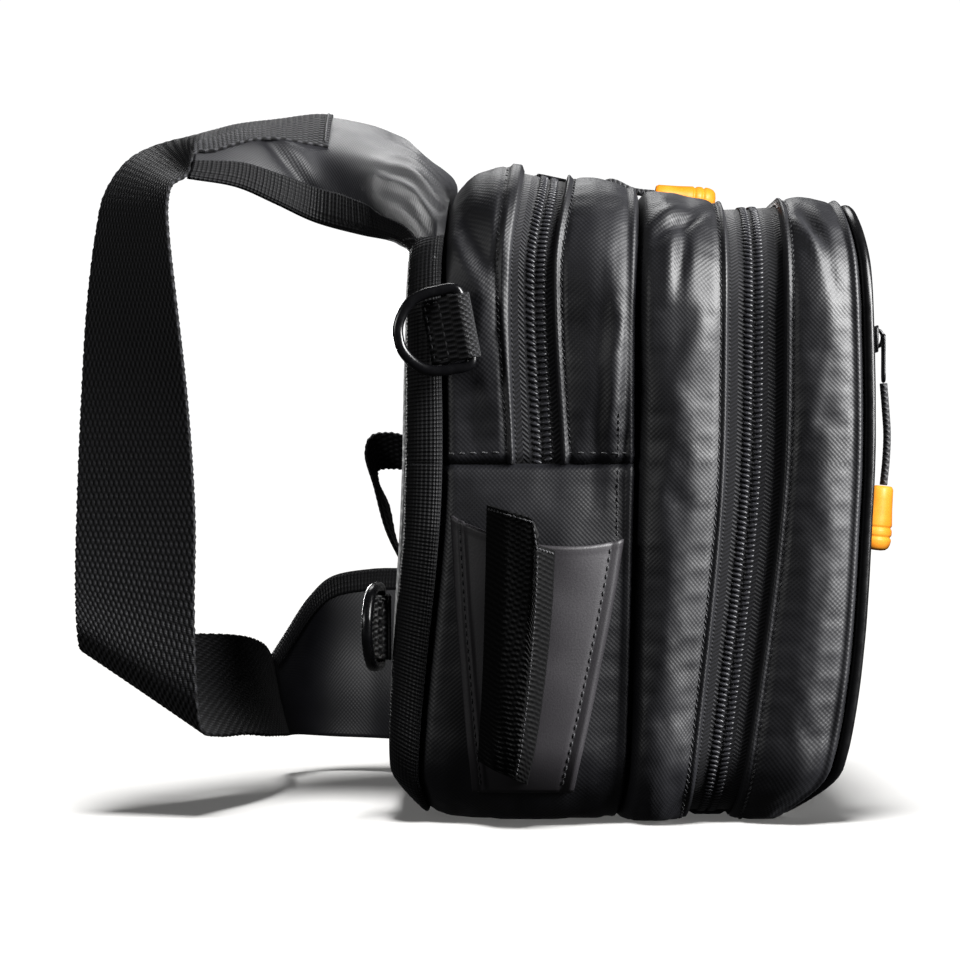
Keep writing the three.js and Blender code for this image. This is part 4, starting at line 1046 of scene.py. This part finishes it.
def tabLine():
    turn = tab["eye"] + tab["ply"] / 2
    arcPoints = [Vector((turn * math.cos(a), turn * math.sin(a), 0))
                 for a in [math.pi * (0.7 - 1.3 * i / 12) for i in range(13)]]
    root = Vector((-tab["reach"], tab["sink"] - tab["ply"] * 0.5, 0))
    over = Vector((-tab["reach"], tab["sink"] - tab["ply"] * 1.6, 0))
    inner = [root.lerp(arcPoints[0], k / 4) for k in range(4)]
    outer = [arcPoints[-1].lerp(over, k / 4) for k in range(1, 5)]
    return inner + arcPoints + outer


tabPath = tabLine()


def tabSpot(s, t):
    spot = lineThrough(tabPath, s)
    spot.z = (t - 0.5) * tab["width"]
    return spot


for ringName, matrix in ringFrames.items():
    bm = mapGrid(120, 14, deeSpot, (90, 12), looped=True)
    bmesh.ops.recalc_face_normals(bm, faces=bm.faces)
    bmesh.ops.transform(bm, matrix=matrix, verts=bm.verts)
    newPiece(ringName + "_d_ring_acetal", bm, "ring", [ringName + "_d_ring"],
             body=ringName + "_ring")
    bm = mapGrid(90, 24, tabSpot, (46, tab["width"]))
    bmesh.ops.transform(bm, matrix=matrix, verts=bm.verts)
    newPiece(ringName + "_tab_webbing", bm, "webbing", [ringName + "_ring_tab"],
             wall=tab["ply"] * 0.9, offset=0)
    for (x0, z0), (x1, z1) in zip(tab["seam"], tab["seam"][1:] + tab["seam"][:1]):
        def tabSeam(t):
            x, z = mix(x0, x1, t), mix(z0, z1, t)
            high = mix(tabPath[-1].y, tabPath[-5].y, (x + tab["reach"]) / 14) - 0.65
            return matrix @ Vector((x, high, z)), matrix.to_3x3() @ Vector((0, -1, 0))
        sewAlong(tabSeam, 3.2, 2.3, 0.4)
print("rings done")

# Shoulder pad. Rows: x, skew, then y and z of the far hem, the webbing seat's two edges and the near hem;
# skew moves the hems along x, and the seat by a share of that
padRows = [
    (-82.8, 9, (50, 243), (40, 238), (-34, 224), (-87, 212)),
    (-81, 5, (50, 248), (42, 250), (-34, 238), (-82.5, 222)),
    (-80, -2, (51, 254), (42, 261), (-32, 248), (-70, 227.5)),
    (-82, -5, (50, 264), (38, 277), (-30, 262), (-61, 230.5)),
    (-98, 0, (42, 270), (29, 283), (-26, 264), (-52, 233.5)),
    (-117, 0, (35, 273), (22, 285.5), (-24, 267.5), (-44, 239.5)),
    (-132, 0, (25, 271.5), (13, 281.5), (-34, 269), (-51, 246)),
    (-147, 0, (13, 267.5), (4, 276.3), (-45, 269.5), (-58, 252)),
    (-164, -1.5, (-5, 265.5), (-11, 271), (-58, 263.8), (-69.5, 254)),
]
pad = {"thick": 6, "sewnFrom": 0.6, "skewShares": (1, 0.5, 1 / 3, 1),
       "tapeOut": 1.98, "tapeStart": 0.02, "tapeFace": 0.36, "tapeLift": 0.7, "tapeWall": 0.9}
padLines = [[Vector((row[0] + share * row[1], *row[2 + k])) for row in padRows]
            for k, share in enumerate(pad["skewShares"])]


@functools.lru_cache(maxsize=None)
def padRow(s):
    return [lineThrough(points, s) for points in padLines]


def padSpot(s, t, lift=0.0):
    s, t = round(s, 5), round(t, 5)
    row = padRow(s)
    spot = lineThrough(row, t)
    ahead = (lineThrough(padRow(min(round(s + 0.01, 5), 1)), t)
             - lineThrough(padRow(max(round(s - 0.01, 5), 0)), t))
    across = lineThrough(row, min(t + 0.02, 1)) - lineThrough(row, max(t - 0.02, 0))
    up = ahead.cross(across).normalized()
    return spot + up * lift


def padHalf(across):
    # half the pad's thickness: full in the middle, thin at both hems
    return pad["thick"] / 2 * (1 - min(abs(2 * across - 1), 1) ** 5) ** 0.5


@functools.lru_cache(maxsize=None)
def rootLine(t):
    # from the back seam over the binding to the pad, t from the near corner to the far one
    seam, normal = ringSpot("backSeam", round(mix(flange["first"], flange["last"], t), 4))
    full = smooth(t, 0.2, 0.78) * smooth(1 - t, 0, 0.2)  # how far the root puffs up on the top
    across = mix(flange["near"], flange["far"], t)
    over = padHalf(across)
    end = padSpot(flange["joins"], across, over)
    flat = [seam + normal * 1.4 - Vector((3, 0, 0)), seam.lerp(end, 0.4) + normal + Vector((0, 0, 3)),
            seam.lerp(end, 0.75) + normal]
    puffed = [seam + normal * flange["rise"][0] + Vector((2, 0, 0)),
              seam + normal * flange["rise"][1] - Vector((11, 0, 0)),
              padSpot(flange["joins"] - 0.1, across, over + 0.6)]
    beyond = padSpot(flange["joins"] + 0.1, across, over)
    return [seam - normal * 0.6] + [a.lerp(b, full) for a, b in zip(flat, puffed)] + [end, beyond]


@functools.lru_cache(maxsize=None)
def padFace(s, across):
    # the pad's face; its root runs on into the back seam
    if s >= flange["joins"]:
        return padSpot(s, across, padHalf(across))
    near, far = flange["near"], flange["far"]
    t = min(max((near - across) / (near - far), 0), 1)
    u = s / flange["joins"]
    spot = lineThrough(rootLine(round(t, 5)), 0.8 * u)
    streak = flange["streak"] * math.sin(2 * math.pi * flange["streaks"] * t + 3 * noise.noise(
        Vector((u * 2, t * 5, 0)))) * math.sin(math.pi * min(u * 1.1, 1)) * smooth(t, 0, 0.06)
    streak += 0.22 * math.sin(130 * t + 4 * u) * smooth(0.9 - u, 0, 0.4) * smooth(t, 0, 0.06)
    spot += ringSpot("backSeam", round(mix(flange["first"], flange["last"], t), 4))[1] * streak
    if far < across < near:
        return spot
    edge, reach = (near, 1 - near) if across >= near else (far, far)
    share = abs(across - edge) / reach
    hem = padSpot(s, 1 if across >= near else 0)
    puff = padHalf(across) - padHalf(edge) * (1 - share)
    return spot.lerp(hem, share) + (padSpot(s, across, 1) - padSpot(s, across)) * puff


@functools.lru_cache(maxsize=None)
def padSkin(s, across):
    # the same face with a soft join between root and pad
    reach = 0.09 * bell(s - flange["joins"], 0.13)
    if reach < 0.01:
        return padFace(s, across)
    spots = [padFace(round(s + reach * k / 2, 5), across) for k in (-2, -1, 0, 1, 2)]
    return sum(spots, Vector()) / 5


def padTop(s, across, lift):
    s, across = round(s, 5), round(across, 5)
    ahead = padSkin(min(round(s + 0.008, 5), 1), across) - padSkin(max(round(s - 0.008, 5), 0), across)
    side = padSkin(s, min(round(across + 0.012, 5), 1)) - padSkin(s, max(round(across - 0.012, 5), 0))
    return padSkin(s, across) + ahead.cross(side).normalized() * lift


def padShell(s, t):
    # t runs over the face from the far hem to the near one, and back along the underside
    over = t <= 0.5
    across = 2 * t if over else 2 - 2 * t
    streak = 0.5 * math.sin(across * 21 + 2 * noise.noise(Vector((s * 5, across * 2, 0))))
    bend = bell(s - 0.6, 0.15)
    slant = s - 0.63 - 0.6 * (0.95 - across)
    pleat = (2.2 * bell(slant + 0.05, 0.05) - 3.2 * bell(slant, 0.032)) * smooth(across, 0.55, 0.75)
    loose = 0.8 * noise.noise(Vector((s * 9, across * 4, 2)))
    crease = (streak * (0.4 + bend) + pleat + loose) * min(1, 4 * across * (1 - across) * 1.5)
    if over:
        return padTop(s, across, crease * 0.8 * smooth(s, 0.05, 0.4))
    return padSpot(s, across, -padHalf(across) * mix(0.2, 1, smooth(s, 0.28, 0.5)))


bm = mapGrid(120, 108, padShell, (190, 200), looped=True)
closeEnds(bm)
shoulderPad = newPiece("shoulder_pad_cloth", bm, "cloth", ["shoulder_pad"])


def padTape(hem, arm):
    # a tape folded over the hem: along the face, round the edge and along the back
    face, lift, rim = pad["tapeFace"], pad["tapeLift"], 0.96

    def place(s, t):
        step = mix(pad["tapeStart"], 1, s)
        bulge = 0.12 * math.sin(s * 240)
        stand = smooth(step, 0, 0.22)  # it sinks into the back's binding at the root
        if t < face:
            across = mix(arm, hem, rim * t / face)
            return padTop(step, across, mix(-1.4, lift, stand) + bulge)
        if t > 1 - face:
            across = mix(hem, arm, 1 - rim * (1 - t) / face)
            return padSpot(step, across, (-padHalf(across) - lift - bulge) * mix(0.1, 1, stand))
        turn = math.pi * (t - face) / (1 - 2 * face)
        row = padRow(round(step, 5))
        outward = (lineThrough(row, hem) - lineThrough(row, abs(hem - 0.04))).normalized()
        return (padSpot(step, hem, (padHalf(mix(arm, hem, rim)) + lift) * math.cos(turn))
                + outward * pad["tapeOut"] * math.sin(turn) * mix(-0.4, 1, stand))
    return mapGrid(150, 30, place, (130, 24))


for side, hem, arm in (("near", 1, flange["near"]), ("far", 0, flange["far"])):
    newPiece("pad_binding_" + side + "_tape", padTape(hem, arm), "tape",
             ["pad_binding_" + side], wall=pad["tapeWall"], offset=0)

# Strap webbing: sewn on the pad, over its tip, down, through a diagonal turn to the wing. Far edge, near edge
strapRows = [
    ((-184, -28, 270), (-165.5, -71.5, 254)), ((-194, -40, 262), (-171, -80, 248.5)),
    ((-201.5, -49, 248), (-172, -86, 240.5)), ((-204, -55, 232), (-171, -91, 228)),
    ((-207, -58, 204), (-168, -92, 202)), ((-208.6, -64, 164), (-163.8, -90, 163)),
    ((-209.6, -70, 117), (-161, -88, 117)), ((-209.4, -75, 90), (-161.5, -86, 82)),
    ((-208.4, -77, 74), (-160.5, -84, 46)), ((-207.5, -70, 65.5), (-159.5, -75, 34)),
    ((-203, -61, 68), (-154, -60, 30.5)), ((-186, -53, 70), (-145, -38, 29)),
    ((-168, -40, 70), (-138, -14, 26)), ((-152, -16, 68), (-134, 14, 23.5)),
    ((-144, 14, 63), (-134.5, 45, 20.5)), ((-142, 49.1, 54), (-138, 73.1, 17.5)),
]
strap = {"width": 50, "wall": 1.5, "row": 2.6, "knot": 2.2, "grid": (430, 92), "relief": 0.2}


def bandLines(rows):
    return [[Vector(a).lerp(Vector(b), k / 3) for a, b in rows] for k in range(4)]


webbingLift = pad["thick"] / 2 + 1
strapLines = bandLines(strapRows)
steps = [pad["sewnFrom"] + (1 - pad["sewnFrom"]) * i / 8 for i in range(9)]
for k, line in enumerate(strapLines):
    # the webbing drifts to the near hem on its way to the tip
    line[:0] = [padSpot(step, (3 + k) / 9 + 0.14 * smooth(step, 0.75, 1), webbingLift) for step in steps]


def bandSurface(lines, samples=400):
    # a function that gives a spot of a band, the way along it and its normal
    places, length = evenPlaces(lambda t: (lineThrough(lines[0], t) + lineThrough(lines[3], t)) / 2, samples)

    @functools.lru_cache(maxsize=None)
    def rowAt(s):
        place = min(max(s, 0), 1) * samples
        i = min(int(place), samples - 1)
        t = mix(places[i], places[i + 1], place - i)
        return [lineThrough(line, t) for line in lines]

    def surface(s, t):
        row = rowAt(round(s, 6))
        ahead, behind = rowAt(round(min(s + 0.003, 1), 6)), rowAt(round(max(s - 0.003, 0), 6))
        spot = lineThrough(row, t)
        along = (ahead[1] + ahead[2] - behind[1] - behind[2]).normalized()
        across = (row[3] - row[0]).normalized()
        return spot, along, along.cross(across).normalized()
    return surface, length


def wovenBand(lines, width, grid, name, nodes):
    surface, length = bandSurface(lines)

    def place(s, t):
        spot, ahead, normal = surface(s, t)
        rowPhase = math.pi * s * length / strap["row"]
        knotPhase = 2 * math.pi * t * width / strap["knot"]
        relief = strap["relief"] * math.sin(rowPhase) * math.sin(knotPhase)
        edge = 0.25 * math.sin(2 * rowPhase) * (smooth(t, 0.97, 1) - smooth(1 - t, 0.97, 1))
        return spot + normal * relief + (normal.cross(ahead)) * edge
    bm = mapGrid(*grid, place, (length, width))
    newPiece(name, bm, "webbing", nodes, wall=strap["wall"], offset=0)
    return surface, length


strapSurface, strapLength = wovenBand(strapLines, strap["width"], strap["grid"], "strap_webbing_woven",
                                      ["strap_webbing"])
print("strap", round(strapLength), "mm")

# Cloth wing on the far lower back, with a bound upper edge. Upper edge, lower edge
wingRows = [((-80, 85, 91), (-80, 79, 15)), ((-86.2, 86.5, 91), (-86.2, 81, 15)),
            ((-100, 90, 90.5), (-100, 88, 15)),
            ((-118, 87, 87), (-116, 89, 15.5)), ((-127.5, 80, 78), (-127, 86, 16.5)),
            ((-136, 65, 64), (-134, 80, 17.5)), ((-142, 50, 54), (-138, 74, 17.5))]
wing = {"wall": 2.4, "tapeReach": 0.108, "tapeStand": 2.1, "tapeOver": 1.2}
wingSurface, wingLength = bandSurface(bandLines(wingRows))


def wingSpot(s, t, lift=0.0):
    spot, along, normal = wingSurface(s, t)
    fold = 0.9 * math.sin(9 * t + 3 * s) * math.sin(math.pi * min(s * 1.3, 1)) * math.sin(math.pi * t)
    return spot + normal * (fold + 0.5 * noise.noise(spot / 20) + lift)


bm = mapGrid(40, 40, wingSpot, (wingLength, 70))
wingPiece = newPiece("strap_wing_cloth", bm, "cloth", ["strap_wing"], wall=wing["wall"], offset=0)


def wingTape(s, t):
    # folded over the wing's upper edge: t 0.5 lies on the edge
    flat = wing["tapeReach"] * (abs(2 * t - 1) ** 2)
    stand = wing["tapeStand"] * math.sin(math.pi * (t - 0.5))
    up = (wingSurface(s, 0)[0] - wingSurface(s, 0.1)[0]).normalized()
    return wingSpot(s, flat) + wingSurface(s, flat)[2] * stand + up * wing["tapeOver"] * (1 - abs(2 * t - 1))


bm = mapGrid(60, 16, wingTape, (wingLength, 16))
newPiece("strap_wing_edge_tape", bm, "tape", wall=0.8, offset=0)

# Keeper loop of narrow webbing on the far back edge
keeperRows = [((-81.2, 76, 152), (-81.2, 84, 137)), ((-91, 76, 154), (-90, 85, 138)),
              ((-99, 75, 152.5), (-96.5, 86, 137)), ((-101.5, 74, 145), (-96.5, 87, 131)),
              ((-97.5, 73, 130), (-92, 88, 121)), ((-92, 73, 110), (-88.5, 88, 105)),
              ((-84.3, 74, 94), (-83.4, 88, 94))]
keeper = {"width": 16, "grid": (150, 16)}
wovenBand(bandLines(keeperRows), keeper["width"], keeper["grid"], "keeper_loop_woven", ["keeper_loop"])
print("strap pieces done")

# Let the cloth settle, then give every band its thickness
settleCloth(cloth["settle"])
for bandName, band in bands.items():
    addWall(band["piece"], cloth["wall"])
print("cloth settled")


# Seam stitching
stitch = {"inset": 3.6, "lift": 0.15, "slant": 0.6,
          "topSeam": (2.5, 2.5, 0.44)}  # pitch, length and radius beside the zips


def bandSeam(name, inset, fromLast, first, last):
    # a line beside a band's edge; inset in mm from that edge
    def lineAt(t):
        distance = mix(first, last, t)
        extra = hemExtra(bands[name], ringSpot(bands[name]["rings"][0], round(distance, 4))[0].z)
        share = (inset + extra * fromLast) / bandWidth(name, distance)
        place = 1 - share if fromLast else share
        normal = ringSpot(bands[name]["rings"][0], round(distance, 4))[1]
        return bandSpot(name, distance, place, stitch["lift"]), normal
    return lineAt


top = arcs["upper"]
over = arcs["overTop"]
for name, fromLast, (first, last), way in (
        ("rear_gusset", True, top, 1), ("middle_gusset", False, top, 1),
        ("front_gusset", True, over, 1), ("pocket_gusset", False, over, -1)):
    sewAlong(bandSeam(name, stitch["inset"], fromLast, first + 4, last - 4), *stitch["topSeam"],
             slant=way * stitch["slant"])
for distance in (top[0] + stitch["inset"], top[1] - stitch["inset"]):
    for name in ("rear_gusset", "middle_gusset"):
        def seamAcross(t, name=name, distance=distance):
            normal = ringSpot(bands[name]["rings"][0], round(distance, 4))[1]
            return bandSpot(name, distance, mix(0.06, 0.94, t), stitch["lift"]), normal
        sewAlong(seamAcross, 4.0, 2.6)


outward = Vector((0, -1, 0))


def pocketSeam(inset, front):
    def lineAt(t):
        z = mix(pocket["foot"], pocket["top"], t)
        width = pocketColumn(2, round(z, 3)) - pocketColumn(1, round(z, 3))
        place = 1 - inset / width if front else inset / width
        return pocketSpot(t, place, stitch["lift"]), outward
    return lineAt


sewAlong(pocketSeam(5, True), 3.2, 2.3, 0.6, 0.03, 0.98)
sewAlong(pocketSeam(3.4, False), 3.2, 2.3, 0.4, 0.03, 0.97)
sewAlong(lambda t: (sleeveSpot(t, 0.74) + outward * 0.2, outward), 2.1, 1.2, 0.4, 0.02, 0.96)
sewAlong(lambda t: (sleeveSpot(0.985, t) + outward * 0.2, outward), 2.2, 2.0, 0.4, 0.02, 0.98)
sewAlong(bandSeam("lower_gusset", 6.5, True, ringLength - 2, ringLength - 28), 2.5, 2.0, 0.4)
sewAlong(bandSeam("middle_gusset", 6.5, True, 2, 18), 2.5, 2.0, 0.4)
strapEnd = 0.004  # the row across the strap's end on the pad
endNormal = strapSurface(strapEnd, 0.5)[2]
sewAlong(lambda t: (strapSurface(strapEnd, mix(0.06, 0.94, t))[0] + endNormal, endNormal), 1.6, 2.6, 0.5)
newPiece("seam_stitches", beadMesh(stitchPlaces, 5, 4), "thread")
print("stitches done")

# Stage: pale floor and soft studio light
stage = {"floor": 6.0, "drop": 0.0004, "sky": 0.03, "backdrop": 1.05, "aim": (0, 0, 0.12)}
bm = bmesh.new()
bmesh.ops.create_circle(bm, cap_ends=True, segments=96, radius=stage["floor"])
floorMesh = bpy.data.meshes.new("floor")
bm.to_mesh(floorMesh)
bm.free()
floor = bpy.data.objects.new("floor", floorMesh)
floor.location.z = -stage["drop"]
floor.visible_diffuse = False  # black flags beside the bag keep the white floor out of its cloth
floor.visible_glossy = False
scene.collection.objects.link(floor)
# Matt paper sweep, pressed pulp: an even pale grey with a faint cloud in its gloss
paper, paperTree, _, paperSpot = newMaterial("paper_sweep", "#f6f5f3", {})
pulp = addNode(paperTree, "TexNoise", {"Vector": paperSpot, "Scale": 60})
floorMesh.materials.append(dress(paper, (pulp, 0.3, 0.7, 0.8, 0.9)))

world = bpy.data.worlds.new("studio")
scene.world = world
world.use_nodes = True
sky = world.node_tree
seen = addNode(sky, "LightPath", {}).outputs["Is Camera Ray"]
glow = addNode(sky, "MapRange", {"Value": seen, "To Min": stage["sky"], "To Max": stage["backdrop"]})
feed(sky, sky.nodes["Background"], {"Color": linear("#ffffff"), "Strength": glow})
scene.view_settings.view_transform = "Standard"
lights = {
    "key": {"kind": "AREA", "place": (1.0, -0.65, 0.85), "size": 0.8, "power": 48},
    "skim": {"kind": "AREA", "place": (1.3, -0.35, 0.45), "size": 0.7, "power": 40},
    "back": {"kind": "AREA", "place": (-0.1, 0.7, 1.1), "size": 0.6, "power": 6},
    "behind": {"kind": "AREA", "place": (-0.5, 1.2, 0.3), "size": 0.5, "power": 10},
    "left": {"kind": "AREA", "place": (-1.2, -0.7, 0.5), "size": 0.4, "power": 4},
    # small lamps that reach one thing each: the pad's root, the orange grips, the wing behind the strap
    "pad_fill": {"kind": "AREA", "place": (-0.95, 0.4, 0.75), "size": 0.4, "power": 15,
                 "only": ["shoulder_pad_cloth"]},
    "grip_fill": {"kind": "AREA", "place": (0.3, -1.0, 0.7), "size": 0.3, "power": 27,
                  "only": ["front_grip_rubber", "rear_grip_rubber"]},
    "wing_fill": {"kind": "AREA", "place": (-0.25, -1.2, 0.5), "size": 0.3, "power": 12,
                  "only": ["strap_wing_cloth", "strap_wing_edge_tape"]},
    # two suns for the paper alone: one draws the soft shadow, the other keeps it from going black
    "paper_sun": {"kind": "SUN", "place": (-0.05, -0.25, 1.3), "size": math.radians(16), "power": 3.7},
    "paper_fill": {"kind": "SUN", "place": (0, 0, 1.3), "size": 0, "power": 0.35},
}
paperOnly = bpy.data.collections.new("paper_only")
paperOnly.objects.link(floor)
bagOnly = bpy.data.collections.new("bag_only")
bagOnly.objects.link(floor)
for name in lights["grip_fill"]["only"]:
    bagOnly.objects.link(bpy.data.objects[name])
for entry in bagOnly.collection_objects:
    entry.light_linking.link_state = "EXCLUDE"
for lightName, light in lights.items():
    lamp = bpy.data.objects.new(lightName, bpy.data.lights.new(lightName, light["kind"]))
    forPaper = light["kind"] == "SUN"
    if forPaper:
        lamp.data.angle = light["size"]
        lamp.data.use_shadow = light["size"] > 0
    else:
        lamp.data.shape = "DISK"
        lamp.data.size = light["size"]
    lamp.data.energy = light["power"]
    reach = paperOnly if forPaper else bagOnly
    if "only" in light:
        reach = bpy.data.collections.new(lightName)
        for name in light["only"]:
            reach.objects.link(bpy.data.objects[name])
    lamp.light_linking.receiver_collection = reach
    lamp.location = light["place"]
    toBag = Vector(stage["aim"]) - lamp.location
    lamp.rotation_euler = toBag.to_track_quat("-Z", "Y").to_euler()
    scene.collection.objects.link(lamp)
print("stage and lights done")
